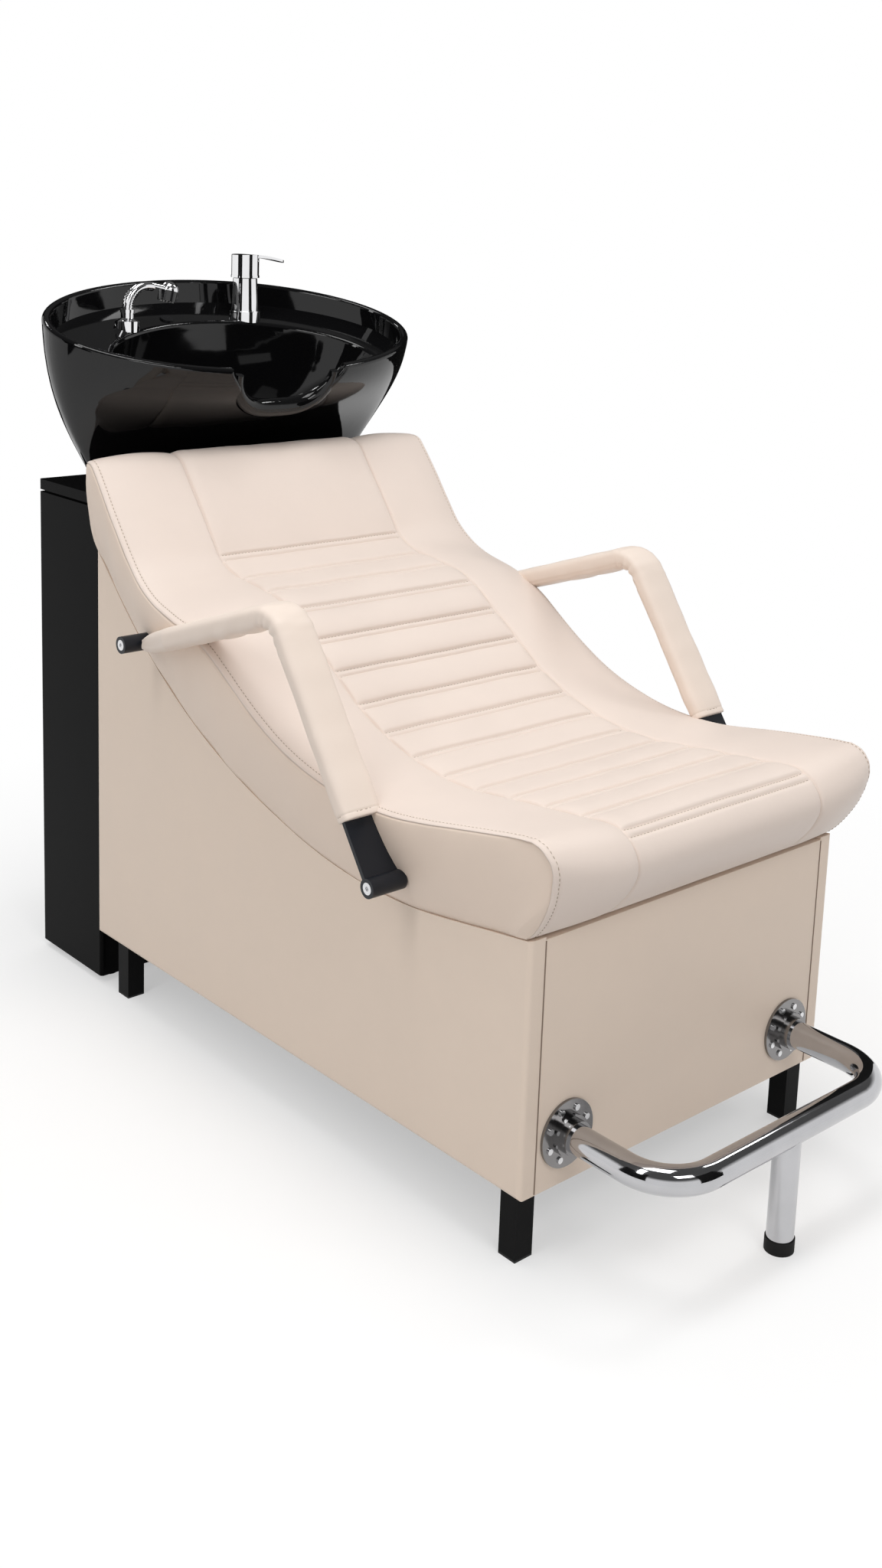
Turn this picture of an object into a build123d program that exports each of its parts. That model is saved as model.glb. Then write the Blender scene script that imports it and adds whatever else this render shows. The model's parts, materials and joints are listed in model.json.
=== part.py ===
from build123d import *
import math
import os

# Backwash unit: an upholstered reclining seat on a panelled box, a column behind it and a
# tilting ceramic basin on the column. Millimetres. The floor is z = 0 and the user's left-right
# axis is X. Heights and depths are written from the floor and from the face of the front panel,
# with y growing towards the column, and the whole unit is moved back by rear_shift at the end so
# that the middle of its footprint is the origin.

# Smallest sizes
clearance = 0.3
running_fit = 0.05
overrun = 5.0
eased_edge = 1.0

# Panelled box under the seat
body_width = 600.0
body_length = 1000.0
body_bottom = 95.0
panel_thickness = 26.0
panel_edge_radius = 7.0
front_panel_top = 434.5
base_board_thickness = 16.0
seat_board_thickness = 15.0
rail_height = 60.0
rail_thickness = 22.0
rail_place_shares = (0.18, 0.48, 0.78)
rail_top_drop = 45.0

# Line on which the cushion rests, as (y, z, bend radius) from front to rear
seat_line = (
    (8.0, 438.0, 0.0),
    (322.0, 390.0, 800.0),
    (760.0, 510.0, 950.0),
    (998.0, 744.0, 0.0),
)

# Cushion surface, as (y, z, bend radius), at the middle and at the piped side edge
middle_line = (
    (-74.0, 570.0, 24.0),
    (377.0, 520.0, 450.0),
    (654.0, 708.0, 190.0),
    (815.0, 727.0, 95.0),
    (1003.0, 962.0, 38.0),
)
side_line = (
    (-42.0, 580.0, 16.0),
    (389.0, 505.0, 500.0),
    (658.0, 675.0, 290.0),
    (817.0, 711.0, 190.0),
    (992.0, 929.0, 24.0),
)
middle_panel_half_width = 182.0
cushion_half_width = 334.0
cushion_seat_half_width = 299.0
side_band_height = 24.0
crown_station_shares = (0.0, 0.42, 0.78, 1.0)
crown_fall_shares = (0.0, 0.22, 0.62, 0.78)
gusset_station_shares = (0.0, 0.55, 1.0)
gusset_lift_shares = (0.0, 0.3, 0.72)
channel_count = 14
channel_first_y = -28.0
channel_last_y = 826.0
channel_strip_width = 11.0
channel_crown = 3.2

# Plywood ribs inside the cushion, which carry the armrests
rib_outer_half_width = 292.0
rib_thickness = 18.0
rib_height = 96.0
rib_front_y = 70.0
rib_rear_y = 925.0

# Armrests: a flat bar from a front boss, up, over a bend and back to a rear boss
armrest_inner_half_width = 320.0
armrest_bar_width = 56.0
armrest_bar_thickness = 6.0
armrest_front_boss = (217.0, 452.0)
armrest_bend = (436.0, 766.0)
armrest_rear_boss = (802.0, 638.5)
armrest_bend_radius = 45.0
armrest_boss_radius = 13.0
armrest_taper_length = 120.0
armrest_tip_width = 24.0
sleeve_front_thickness = 26.0
sleeve_rear_thickness = 38.0
sleeve_side_cover = 3.0
sleeve_front_hem = 88.0
sleeve_rear_hem = 20.0
sleeve_edge_radius = 9.0
armrest_bolt_radius = 5.0
armrest_spacer_radius = 9.0
armrest_bolt_head_radius = 8.0
armrest_bolt_head_height = 5.0
armrest_bolt_socket_radius = 3.0

# Legs
leg_size = 30.0
leg_wall = 2.0
leg_plate_thickness = 4.0
leg_glide_height = 3.0
leg_front_inset = 14.0
leg_side_inset = 12.0
leg_rear_y = 925.0

# Foot bar
foot_bar_reach = 194.0
foot_bar_radius = 19.0
foot_bar_wall = 2.0
foot_bar_half_width = 222.0
foot_bar_height = 163.0
foot_bar_bend_radius = 72.0
foot_flange_radius = 45.0
foot_flange_thickness = 4.0
foot_flange_screw_count = 8
foot_flange_screw_circle = 34.5
foot_collar_radius = 27.5
foot_collar_length = 9.0
foot_collar_inner_radius = 23.0
foot_collar_inner_length = 18.0
foot_leg_radius = 18.0
foot_cap_height = 6.0
foot_cap_wall = 1.5
flange_screw_radius = 2.5
flange_screw_head_radius = 4.2
flange_screw_head_height = 2.2
flange_screw_length = 18.0

# Column
column_half_width = 294.0
column_depth = 194.0
column_bottom = 12.0
column_body_top = 805.0
column_wall = 16.0
column_edge_radius = 6.0
column_gap = 4.0
column_gap_inset = 9.0
column_top = 826.0
column_foot_radius = 15.0
column_foot_inset = 35.0
service_panel_width = 420.0
service_panel_height = 480.0
service_panel_bottom = 240.0
service_panel_thickness = 6.0
service_screw_inset = 18.0
inlet_radius = 10.5
inlet_length = 18.0
inlet_nut_radius = 15.0
inlet_nut_length = 9.0
inlet_spacing = 150.0
inlet_height = 160.0
spigot_radius = 20.0
spigot_wall = 2.5
spigot_length = 28.0
spigot_collar_radius = 27.0
spigot_collar_length = 5.0
pipe_run_inside = 30.0

# Shroud and hinge on the column
shroud_half_width = 226.0
shroud_front_reach = 14.0
shroud_rear_reach = 88.0
shroud_top = 861.0
shroud_ring_height = 9.0
shroud_ring_step = 4.0
shroud_wall = 4.0
hinge_y = 1128.0
hinge_z = 852.0
hinge_pin_radius = 6.0
hinge_pin_overhang = 6.0
hinge_ear_half_gap = 92.0
hinge_ear_thickness = 6.0
hinge_ear_half_depth = 12.0
hinge_base_thickness = 4.0
hinge_base_half_width = 116.0
hinge_screw_radius = 4.0
hinge_screw_head_radius = 6.5
hinge_screw_head_height = 3.0
hinge_screw_length = 14.0
knuckle_radius = 11.0
hose_hole_radius = 24.0

# Basin, as (y, z, half width, front reach, rear reach) of each level of its wall and of its bowl,
# with the forward tilt of each level in degrees
basin_levels = (
    (1070.0, 850.0, 266.0, 34.0, 112.0),
    (1066.0, 880.0, 285.0, 40.0, 126.0),
    (1060.0, 925.0, 312.0, 68.0, 142.0),
    (1056.0, 975.0, 334.0, 110.0, 152.0),
    (1050.0, 1086.0, 352.0, 166.0, 178.0),
)
basin_tilt_degrees = (0.0, 3.0, 8.0, 13.0, 20.8)
bowl_levels = (
    (1076.0, 897.0, 90.0, 42.0, 45.0),
    (1068.0, 922.0, 160.0, 80.0, 56.0),
    (1045.0, 975.0, 220.0, 105.0, 86.0),
    (1000.0, 1032.0, 258.0, 118.0, 134.0),
    (979.0, 1088.0, 275.0, 140.0, 142.0),
)
bowl_tilt_degrees = (0.0, 5.0, 13.0, 20.8, 20.8)
ceramic_wall = 15.0
ceramic_floor = 13.0
deck_y = 1100.0
deck_height = 1070.0
rim_extension = 60.0
rim_radius = 6.0
deck_edge_radius = 8.0
notch_top_half_width = 112.0
notch_bottom_half_width = 66.0
notch_height = 972.0
notch_corner_radius = 40.0
notch_shoulder_radius = 24.0

# Rolled lip of the neck rest: its centre line from the middle to one shoulder
lip_points = ((0.0, 938.0, 958.0), (60.0, 932.0, 966.0), (88.0, 918.0, 990.0), (95.0, 905.0, 1018.0))
lip_radius = 16.0
lip_end_radius = 7.0

drain_y = 1085.0
drain_hole_radius = 23.0

# Basin bracket
bracket_thickness = 4.0
bracket_half_width = 88.0
bracket_front_y = 1046.0
bracket_rear_y = 1138.0
bracket_corner_radius = 16.0
bracket_hole_radius = 24.0
bracket_screw_x = 58.0
bracket_screw_reach = 30.0
bracket_screw_radius = 4.0
bracket_screw_depth = 8.0
bracket_screw_head_radius = 6.5
bracket_screw_head_height = 4.5

# Waste
waste_flange_radius = 32.0
waste_flange_thickness = 3.0
waste_bore_radius = 19.0
waste_body_radius = 22.0
waste_nut_radius = 30.0
waste_nut_height = 8.0
waste_bottom = 858.0
strainer_radius = 18.0
strainer_thickness = 2.0
strainer_ledge = 1.5
strainer_hole_radius = 2.6
strainer_hole_circle = 11.0
strainer_hole_count = 8
strainer_knob_radius = 3.5
strainer_knob_height = 9.0

# Tap
tap_place = (88.0, 1153.0)
tap_ring_radius = 27.0
tap_ring_height = 12.0
tap_ring_step = 2.5
tap_body_radius = 21.0
tap_foot_radius = 23.5
tap_body_height = 54.0
tap_bore_radius = 15.0
tap_bore_depth = 22.0
tap_slot_half_width = 4.6
tap_slot_reach = 11.0
tap_slot_depth = 14.0
tap_rod_radius = 4.0
tap_pivot_radius = 1.5
tap_pivot_half_length = 11.0
tap_shank_radius = 8.5
tap_nut_radius = 13.5
tap_nut_height = 12.0
tap_shank_length = 36.0
tap_handle_radius = 24.0
tap_handle_wall = 1.8
tap_handle_height = 40.0
tap_handle_gap = 1.2
tap_handle_bead = 0.8
tap_handle_bead_height = 4.0
tap_pivot_drop = 6.0
tap_lever_reach = 80.0
tap_lever_half_width = 14.0
tap_lever_thickness = 5.0
tap_lever_tip_thickness = 3.5
tap_lever_droop = 11.0

# Hand shower and its socket
shower_place = (-168.0, 1123.0)
socket_ring_radius = 20.5
socket_ring_height = 10.0
socket_dome_height = 15.0
socket_neck_radius = 11.0
socket_collar_radius = 12.0
socket_collar_height = 5.0
socket_height = 29.0
socket_bore_radius = 8.3
socket_shank_radius = 10.5
socket_shank_length = 36.0
socket_nut_radius = 15.0
socket_nut_height = 12.0
handset_stem_radius = 8.0
handset_stem_depth = 16.0
handset_rise = 29.5
handset_reach = 80.0
handset_bend_radius = 38.0
handset_grip_radius = 9.4
handset_grip_length = 33.0
handset_rib_count = 7
handset_rib_pitch = 4.4
handset_rib_radius = 9.2
handset_head_radius = 16.5
handset_head_lean = 13.0
handset_face_depth = 17.5
handset_nozzle_radius = 1.1
handset_nozzle_length = 1.4
handset_nozzle_circle = 10.5
handset_nozzle_count = 12
hole_cap_place = (-77.0, 1147.0)
hole_cap_radius = 11.7
hole_cap_height = 2.5
hole_radius = 9.0

os.makedirs("parts", exist_ok=True)

column_front_y = body_length
column_rear_y = column_front_y + column_depth
basin_rear_y = basin_levels[-1][0] + basin_levels[-1][4]
unit_length = foot_bar_reach + basin_rear_y
rear_shift = foot_bar_reach - unit_length / 2
inner_half_width = body_width / 2 - panel_thickness
handed = (("left", -1), ("right", 1))


def save(name, shape):
    """Writes one node, moved from the front panel's face to the middle of the footprint."""
    export_step(Pos(0, rear_shift, 0) * shape, f"parts/{name}.step")


def group(shapes):
    return Compound(children=list(shapes))


def upright(radius, x, y, bottom, top):
    """A vertical cylinder between two heights."""
    return Pos(x, y, (bottom + top) / 2) * Cylinder(radius, top - bottom)


def crosswise(radius, x_from, x_to, y, z):
    """A cylinder along X."""
    centre = Pos((x_from + x_to) / 2, y, z)
    return centre * Rot(0, 90, 0) * Cylinder(radius, abs(x_to - x_from))


def lengthwise(radius, x, y_from, y_to, z):
    """A cylinder along Y."""
    centre = Pos(x, (y_from + y_to) / 2, z)
    return centre * Rot(90, 0, 0) * Cylinder(radius, abs(y_to - y_from))


def block(x_from, x_to, y_from, y_to, z_from, z_to):
    size = Box(abs(x_to - x_from), abs(y_to - y_from), abs(z_to - z_from))
    return Pos((x_from + x_to) / 2, (y_from + y_to) / 2, (z_from + z_to) / 2) * size


def side_extrusion(outline, x_from, x_to):
    """A (y, z) outline drawn in the side view, extruded along X between two places."""
    face = Plane.YZ * make_face(outline)
    return Pos(x_from, 0, 0) * extrude(face, amount=x_to - x_from)


def bent_line(points):
    """A run of straight lines through (y, z, radius) points, rounded at each inner point."""
    corners = [(y, z) for y, z, radius in points]
    radii = [radius for y, z, radius in points[1:-1]]
    return FilletPolyline(corners, radius=radii).edges()


def dropped(points, drop):
    return [(y, z - drop, radius) for y, z, radius in points]


def closed_outline(points):
    """A closed outline through (y, z, radius) points."""
    corners = [(y, z) for y, z, radius in points]
    radii = [radius for y, z, radius in points]
    return FilletPolyline(corners, radius=radii, close=True).edges()


def mixed(first, second, share):
    """Points part of the way from one line to another that has the same number of points."""
    pairs = zip(first, second)
    return [tuple(a + (b - a) * share for a, b in zip(one, other)) for one, other in pairs]


# Cushion

def cushion_section(x, fall_share, lift_share):
    """The cushion's side-view outline at one place across its width.

    fall_share moves the surface from the middle line to the piped edge's line, and lift_share
    draws the underside up towards the surface, as the side gusset does beyond the box.
    """
    top = mixed(middle_line, side_line, fall_share)
    under = [(y, z, radius) for y, z, radius in seat_line]
    front, dip, lumbar, neck, head = top
    raised = [
        (front[0] + side_band_height, front[1] - side_band_height, 0),
        (dip[0], dip[1] - side_band_height, seat_line[1][2]),
        (neck[0], neck[1] - 2 * side_band_height, seat_line[2][2]),
        (head[0] - side_band_height, neck[1] + (head[1] - neck[1]) / 2, 0),
    ]
    under = mixed(under, raised, lift_share)
    corners = [under[0], *top, under[3], under[2], under[1]]
    face = Plane.YZ * make_face(closed_outline(corners))
    return Pos(x, 0, 0) * face


def side_loft():
    """The cushion right of the middle panel: its falling crown and the drawn-in side below it."""
    span = cushion_seat_half_width - middle_panel_half_width
    overhang = cushion_half_width - cushion_seat_half_width
    crown_faces = []
    for station, fall in zip(crown_station_shares, crown_fall_shares):
        x = middle_panel_half_width + span * station
        crown_faces.append(cushion_section(x, fall, 0))
    crown = loft(crown_faces)
    gusset_faces = []
    rest = 1 - crown_fall_shares[-1]
    for station, lift in zip(gusset_station_shares, gusset_lift_shares):
        x = cushion_seat_half_width + overhang * station
        gusset_faces.append(cushion_section(x, crown_fall_shares[-1] + rest * station, lift))
    gusset = loft(gusset_faces)
    return crown, gusset


def mirrored(shape):
    return mirror(shape, Plane.YZ)


def channel_pads():
    """Crowned pads across the middle panel, with a flat stitched strip between each two."""
    run = Wire(bent_line([seat_line[0], *middle_line, seat_line[3]]))
    low_end = Wire(bent_line([seat_line[0], *middle_line[:2]])).length / 2

    def at(distance):
        point = run.position_at(distance, position_mode=PositionMode.LENGTH)
        along = run.tangent_at(distance, position_mode=PositionMode.LENGTH)
        return Vector(point.X, point.Y), Vector(-along.Y, along.X)

    def distance_to(y):
        low, high = low_end, run.length - low_end
        while high - low > clearance:
            middle = (low + high) / 2
            low, high = (middle, high) if at(middle)[0].X < y else (low, middle)
        return low

    first = distance_to(channel_first_y)
    pitch = (distance_to(channel_last_y) - first) / channel_count
    pads = []
    for number in range(channel_count):
        start = first + number * pitch + channel_strip_width / 2
        end = start + pitch - channel_strip_width
        first_point, first_up = at(start)
        crest, crest_up = at((start + end) / 2)
        last_point, last_up = at(end)
        crown = ThreePointArc(first_point, crest + crest_up * channel_crown, last_point)
        sunk_first = first_point - first_up * channel_crown
        sunk_last = last_point - last_up * channel_crown
        under = Polyline([last_point, sunk_last, sunk_first, first_point])
        pads.append(side_extrusion([crown, *under.edges()],
                                   -middle_panel_half_width, middle_panel_half_width))
    return pads


def seat_rib(side):
    """An upright plywood rib that follows the line on which the cushion rests."""
    raised = dropped(seat_line, -rib_height)
    outline = closed_outline([seat_line[0], seat_line[1], seat_line[2], seat_line[3],
                              raised[3], raised[2], raised[1], raised[0]])
    rib = side_extrusion(outline, rib_outer_half_width - rib_thickness, rib_outer_half_width)
    keep = block(-body_width, body_width, rib_front_y, rib_rear_y, 0, 2 * body_length)
    rib = rib & keep
    for y, z in (armrest_front_boss, armrest_rear_boss):
        rib -= crosswise(armrest_bolt_radius, 0, body_width, y, z)
    return rib if side > 0 else mirrored(rib)


def cushion():
    half = middle_panel_half_width
    middle = extrude(cushion_section(-half, 0, 0), amount=2 * half, dir=(1, 0, 0))
    for pad in channel_pads():
        middle += pad
    crown, gusset = side_loft()
    side = crown + gusset
    side -= seat_rib(1)
    side -= armrest_recess()
    body = middle + side + mirrored(side)
    return body


# Armrests

def corner_offset(corner, first, second, first_distance, second_distance):
    """The corner of two lines moved sideways by their own distances to the left."""
    first_normal = Vector(-first.Y, first.X)
    second_normal = Vector(-second.Y, second.X)
    cross = first_normal.X * second_normal.Y - first_normal.Y * second_normal.X
    x = (first_distance * second_normal.Y - second_distance * first_normal.Y) / cross
    y = (second_distance * first_normal.X - first_distance * second_normal.X) / cross
    return corner + Vector(x, y)


def armrest_strip(above, below, front_trim, rear_trim):
    """A closed side-view strip along the armrest's centre line.

    above and below are pairs of distances from the centre line, for the front and rear legs.
    """
    front, bend, rear = Vector(*armrest_front_boss), Vector(*armrest_bend), Vector(*armrest_rear_boss)
    up = (bend - front).normalized()
    back = (rear - bend).normalized()
    start = front + up * front_trim
    end = rear - back * rear_trim
    up_normal = Vector(-up.Y, up.X)
    back_normal = Vector(-back.Y, back.X)
    outer_corner = corner_offset(bend, up, back, *above)
    inner_corner = corner_offset(bend, up, back, -below[0], -below[1])
    outer = FilletPolyline([start + up_normal * above[0], outer_corner, end + back_normal * above[1]],
                           radius=armrest_bend_radius + min(above))
    inner = FilletPolyline([end - back_normal * below[1], inner_corner, start - up_normal * below[0]],
                           radius=armrest_bend_radius - max(below))
    closing = [Line(outer @ 1, inner @ 0), Line(inner @ 1, outer @ 0)]
    return [*outer.edges(), *inner.edges(), *closing]


def armrest_taper(cover):
    """The wedge cut away from the outer edge of the bar towards the rear boss."""
    inner = armrest_inner_half_width
    outer = inner + armrest_bar_width + cover
    y_end = armrest_rear_boss[0] + armrest_bar_width
    y_start = armrest_rear_boss[0] - armrest_taper_length
    tip = inner + armrest_tip_width + cover
    far = outer + armrest_bar_width
    slope_end = Vector(tip - (outer - tip) * armrest_bar_width / armrest_taper_length, y_end)
    corners = [(outer, y_start), (far, y_start), (far, y_end), (slope_end.X, y_end), (outer, y_start)]
    wedge = extrude(Plane.XY * make_face(Polyline(corners).edges()), amount=2 * body_length)
    return wedge


def armrest_bar(grow):
    """The bent flat bar, thicker by grow all round."""
    half = armrest_bar_thickness / 2 + grow
    inner = armrest_inner_half_width
    bar = side_extrusion(armrest_strip((half, half), (half, half), 0, 0),
                         inner - grow, inner + armrest_bar_width + grow)
    return bar - armrest_taper(grow)


def armrest_frame(side):
    inner = armrest_inner_half_width
    outer = inner + armrest_bar_width
    frame = armrest_bar(0)
    for y, z in (armrest_front_boss, armrest_rear_boss):
        frame += crosswise(armrest_boss_radius, inner, outer, y, z)
        frame += crosswise(armrest_spacer_radius, rib_outer_half_width, inner, y, z)
    for y, z in (armrest_front_boss, armrest_rear_boss):
        frame -= crosswise(armrest_bolt_radius, 0, outer + overrun, y, z)
        head_seat = outer - armrest_bolt_head_height
        frame -= crosswise(armrest_bolt_head_radius + clearance, head_seat, outer + overrun, y, z)
    return frame if side > 0 else mirrored(frame)


def sleeve_body(grow):
    front = sleeve_front_thickness / 2 + grow
    rear = sleeve_rear_thickness / 2 + grow
    bar_top = armrest_bar_thickness / 2 + sleeve_edge_radius + grow
    inner = armrest_inner_half_width - sleeve_side_cover - grow
    outer = armrest_inner_half_width + armrest_bar_width + sleeve_side_cover + grow
    above = (front, bar_top)
    below = (front, 2 * rear - bar_top)
    outline = armrest_strip(above, below, sleeve_front_hem, sleeve_rear_hem)
    return side_extrusion(outline, inner, outer)


def armrest_sleeve(side):
    body = sleeve_body(0)
    long_edges = [edge for edge in body.edges() if abs(edge.tangent_at(0.5).X) < 0.5]
    ends = [(edge, edge.center()) for edge in long_edges]
    rims = [edge for edge, centre in ends if edge.length > sleeve_rear_thickness * 1.2
            or edge.geom_type == GeomType.CIRCLE]
    body = fillet(rims, sleeve_edge_radius)
    body -= armrest_taper(sleeve_side_cover)
    body -= armrest_bar(0)
    return body if side > 0 else mirrored(body)


def armrest_recess():
    """Room pressed into the cushion's side for the right armrest."""
    room = sleeve_body(clearance) + armrest_bar(clearance)
    inner = armrest_inner_half_width - clearance
    outer = inner + armrest_bar_width
    for y, z in (armrest_front_boss, armrest_rear_boss):
        room += crosswise(armrest_boss_radius + clearance, inner, outer, y, z)
        room += crosswise(armrest_spacer_radius + clearance, 0, inner + clearance, y, z)
    return room


def armrest_bolts():
    """A bolt through each boss into the rib behind it."""
    outer = armrest_inner_half_width + armrest_bar_width
    seat = outer - armrest_bolt_head_height
    tip = rib_outer_half_width - rib_thickness
    bolts = []
    for y, z in (armrest_front_boss, armrest_rear_boss):
        bolt = crosswise(armrest_bolt_radius, tip, seat, y, z)
        bolt += crosswise(armrest_bolt_head_radius, seat, outer, y, z)
        socket = outer - armrest_bolt_head_height / 2
        bolt -= crosswise(armrest_bolt_socket_radius, socket, outer + overrun, y, z)
        bolts += [bolt, mirrored(bolt)]
    return group(bolts)


# Panelled box

def side_panel(side):
    corners = [(0, body_bottom, 0), (body_length, body_bottom, 0), (body_length, seat_line[3][1], 0),
               seat_line[2], seat_line[1], (0, seat_line[0][1], 0)]
    outline = closed_outline(corners)
    panel = side_extrusion(outline, inner_half_width, body_width / 2)
    outer_edges = panel.faces().sort_by(Axis.X)[-1].edges()
    eased = outer_edges.filter_by(Axis.Z) + outer_edges.filter_by(Axis.Y)
    panel = fillet(eased, panel_edge_radius)
    return panel if side > 0 else mirrored(panel)


def front_panel():
    panel = block(-inner_half_width, inner_half_width, 0, panel_thickness, body_bottom, front_panel_top)
    for name, side in handed:
        for x, z in screw_circle(side * foot_bar_half_width, foot_bar_height):
            panel -= lengthwise(flange_screw_radius, x, -overrun, flange_screw_length, z)
    return panel


def rear_panel():
    top = seat_line[3][1] - panel_thickness
    return block(-inner_half_width, inner_half_width, body_length - panel_thickness, body_length,
                 body_bottom, top)


def seat_board():
    """The curved board under the cushion, flush with the side panels' top edges."""
    lowered = dropped(seat_line, seat_board_thickness)
    outline = closed_outline([*seat_line, *reversed(lowered)])
    board = side_extrusion(outline, -inner_half_width, inner_half_width)
    return board & block(-inner_half_width, inner_half_width, panel_thickness,
                         body_length - panel_thickness, 0, body_length)


def cross_rails():
    rails = []
    for share in rail_place_shares:
        y = body_length * share
        top = seat_line[0][1] - rail_top_drop - seat_board_thickness
        rails.append(block(-inner_half_width, inner_half_width, y, y + rail_thickness,
                           top - rail_height, top))
    return group(rails)


def base_board():
    return block(-inner_half_width, inner_half_width, panel_thickness, body_length - panel_thickness,
                 body_bottom, body_bottom + base_board_thickness)


def leg_places():
    x = body_width / 2 - leg_side_inset - leg_size / 2
    front = leg_front_inset + leg_size / 2
    rear = leg_rear_y + leg_size / 2
    return {"leg_front_left": (-x, front), "leg_front_right": (x, front),
            "leg_rear_left": (-x, rear), "leg_rear_right": (x, rear)}


def leg(x, y):
    half = leg_size / 2
    inner = half - leg_wall
    top = body_bottom - leg_plate_thickness
    tube = block(x - half, x + half, y - half, y + half, leg_glide_height, top)
    tube -= block(x - inner, x + inner, y - inner, y + inner, 0, top + overrun)
    plate = block(x - half, x + half, y - half, y + half, top, body_bottom)
    return tube + plate


def leg_glides():
    half = leg_size / 2
    return group(block(x - half, x + half, y - half, y + half, 0, leg_glide_height)
                 for x, y in leg_places().values())


# Foot bar

def foot_bar():
    y = foot_bar_radius - foot_bar_reach
    start = -foot_flange_thickness
    x = foot_bar_half_width
    path = FilletPolyline([(-x, start), (-x, y), (x, y), (x, start)], radius=foot_bar_bend_radius)
    path = Pos(0, 0, foot_bar_height) * path
    frame = Plane(origin=path @ 0, z_dir=path % 0)
    ring = frame * (Circle(foot_bar_radius) - Circle(foot_bar_radius - foot_bar_wall))
    return sweep(ring, path=path)


def foot_flange(side):
    x = side * foot_bar_half_width
    z = foot_bar_height
    face = -foot_flange_thickness
    collar = face - foot_collar_length
    flange = lengthwise(foot_flange_radius, x, face, 0, z)
    flange += lengthwise(foot_collar_radius, x, collar, face, z)
    flange += lengthwise(foot_collar_inner_radius, x, face - foot_collar_inner_length, collar, z)
    flange -= lengthwise(foot_bar_radius, x, -foot_bar_reach, face, z)
    for x_place, z_place in screw_circle(x, z):
        flange -= lengthwise(flange_screw_radius, x_place, face - overrun, overrun, z_place)
    return flange


def screw_circle(x, z):
    """Places of one flange's screws, as (x, z)."""
    places = []
    for number in range(foot_flange_screw_count):
        angle = 2 * math.pi * (number + 1 / 2) / foot_flange_screw_count
        places.append((x + foot_flange_screw_circle * math.cos(angle),
                       z + foot_flange_screw_circle * math.sin(angle)))
    return places


def flange_screws():
    screws = []
    face = -foot_flange_thickness
    for name, side in handed:
        for x, z in screw_circle(side * foot_bar_half_width, foot_bar_height):
            screw = lengthwise(flange_screw_radius, x, face, flange_screw_length, z)
            screw += lengthwise(flange_screw_head_radius, x, face - flange_screw_head_height, face, z)
            screws.append(screw)
    return group(screws)


def foot_bar_leg():
    y = foot_bar_radius - foot_bar_reach
    leg_tube = upright(foot_leg_radius, 0, y, foot_cap_height, foot_bar_height)
    leg_tube -= upright(foot_leg_radius - foot_bar_wall, 0, y, 0, foot_bar_height + overrun)
    leg_tube -= crosswise(foot_bar_radius, -foot_bar_half_width, foot_bar_half_width, y, foot_bar_height)
    return leg_tube.solids().sort_by(Axis.Z)[0]


def foot_leg_cap():
    y = foot_bar_radius - foot_bar_reach
    outer = foot_leg_radius + foot_cap_wall
    cap = upright(outer, 0, y, 0, 3 * foot_cap_height)
    return cap - upright(foot_leg_radius, 0, y, foot_cap_height, 4 * foot_cap_height)


# Column

def column_body():
    outer = block(-column_half_width, column_half_width, column_front_y, column_rear_y,
                  column_bottom, column_body_top)
    outer = fillet(outer.edges().filter_by(Axis.Z), column_edge_radius)
    wall = column_wall
    body = outer - block(-column_half_width + wall, column_half_width - wall,
                         column_front_y + wall, column_rear_y - wall,
                         column_bottom + wall, column_body_top + overrun)
    opening = service_panel_width / 2 - 2 * service_screw_inset
    body -= block(-opening, opening, column_rear_y - wall - overrun, column_rear_y + overrun,
                  service_panel_bottom + 2 * service_screw_inset,
                  service_panel_bottom + service_panel_height - 2 * service_screw_inset)
    for x in (-inlet_spacing / 2, inlet_spacing / 2):
        body -= lengthwise(inlet_radius, x, column_rear_y - wall - overrun, column_rear_y + overrun,
                           inlet_height)
    body -= lengthwise(spigot_radius, 0, column_rear_y - wall - overrun, column_rear_y + overrun,
                       inlet_height)
    for x, z in service_screw_places():
        body -= lengthwise(flange_screw_radius, x, column_rear_y - wall / 2, column_rear_y + overrun, z)
    return body


def column_top_plate():
    plate = block(-column_half_width, column_half_width, column_front_y, column_rear_y,
                  column_body_top + column_gap, column_top)
    plate = fillet(plate.edges().filter_by(Axis.Z), column_edge_radius)
    inset = column_gap_inset
    plate += block(-column_half_width + inset, column_half_width - inset,
                   column_front_y + inset, column_rear_y - inset,
                   column_body_top, column_body_top + column_gap)
    plate -= upright(hose_hole_radius, 0, drain_y, 0, column_top + overrun)
    for x, y in hinge_screw_places():
        plate -= upright(hinge_screw_radius, x, y, column_top - hinge_screw_length, column_top + overrun)
    return plate


def column_feet():
    x = column_half_width - column_foot_inset
    front = column_front_y + column_foot_inset
    rear = column_rear_y - column_foot_inset
    return group(upright(column_foot_radius, side * x, y, 0, column_bottom)
                 for side in (-1, 1) for y in (front, rear))


def service_screw_places():
    x = service_panel_width / 2 - service_screw_inset
    low = service_panel_bottom + service_screw_inset
    high = service_panel_bottom + service_panel_height - service_screw_inset
    return [(side * x, z) for side in (-1, 1) for z in (low, high)]


def service_panel():
    half = service_panel_width / 2
    panel = block(-half, half, column_rear_y, column_rear_y + service_panel_thickness,
                  service_panel_bottom, service_panel_bottom + service_panel_height)
    for x, z in service_screw_places():
        panel -= lengthwise(flange_screw_radius, x, column_rear_y - overrun,
                            column_rear_y + service_panel_thickness + overrun, z)
    return panel


def service_screws():
    face = column_rear_y + service_panel_thickness
    screws = []
    for x, z in service_screw_places():
        screw = lengthwise(flange_screw_radius, x, column_rear_y - column_wall / 2, face, z)
        screw += lengthwise(flange_screw_head_radius, x, face, face + flange_screw_head_height, z)
        screws.append(screw)
    return group(screws)


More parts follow.
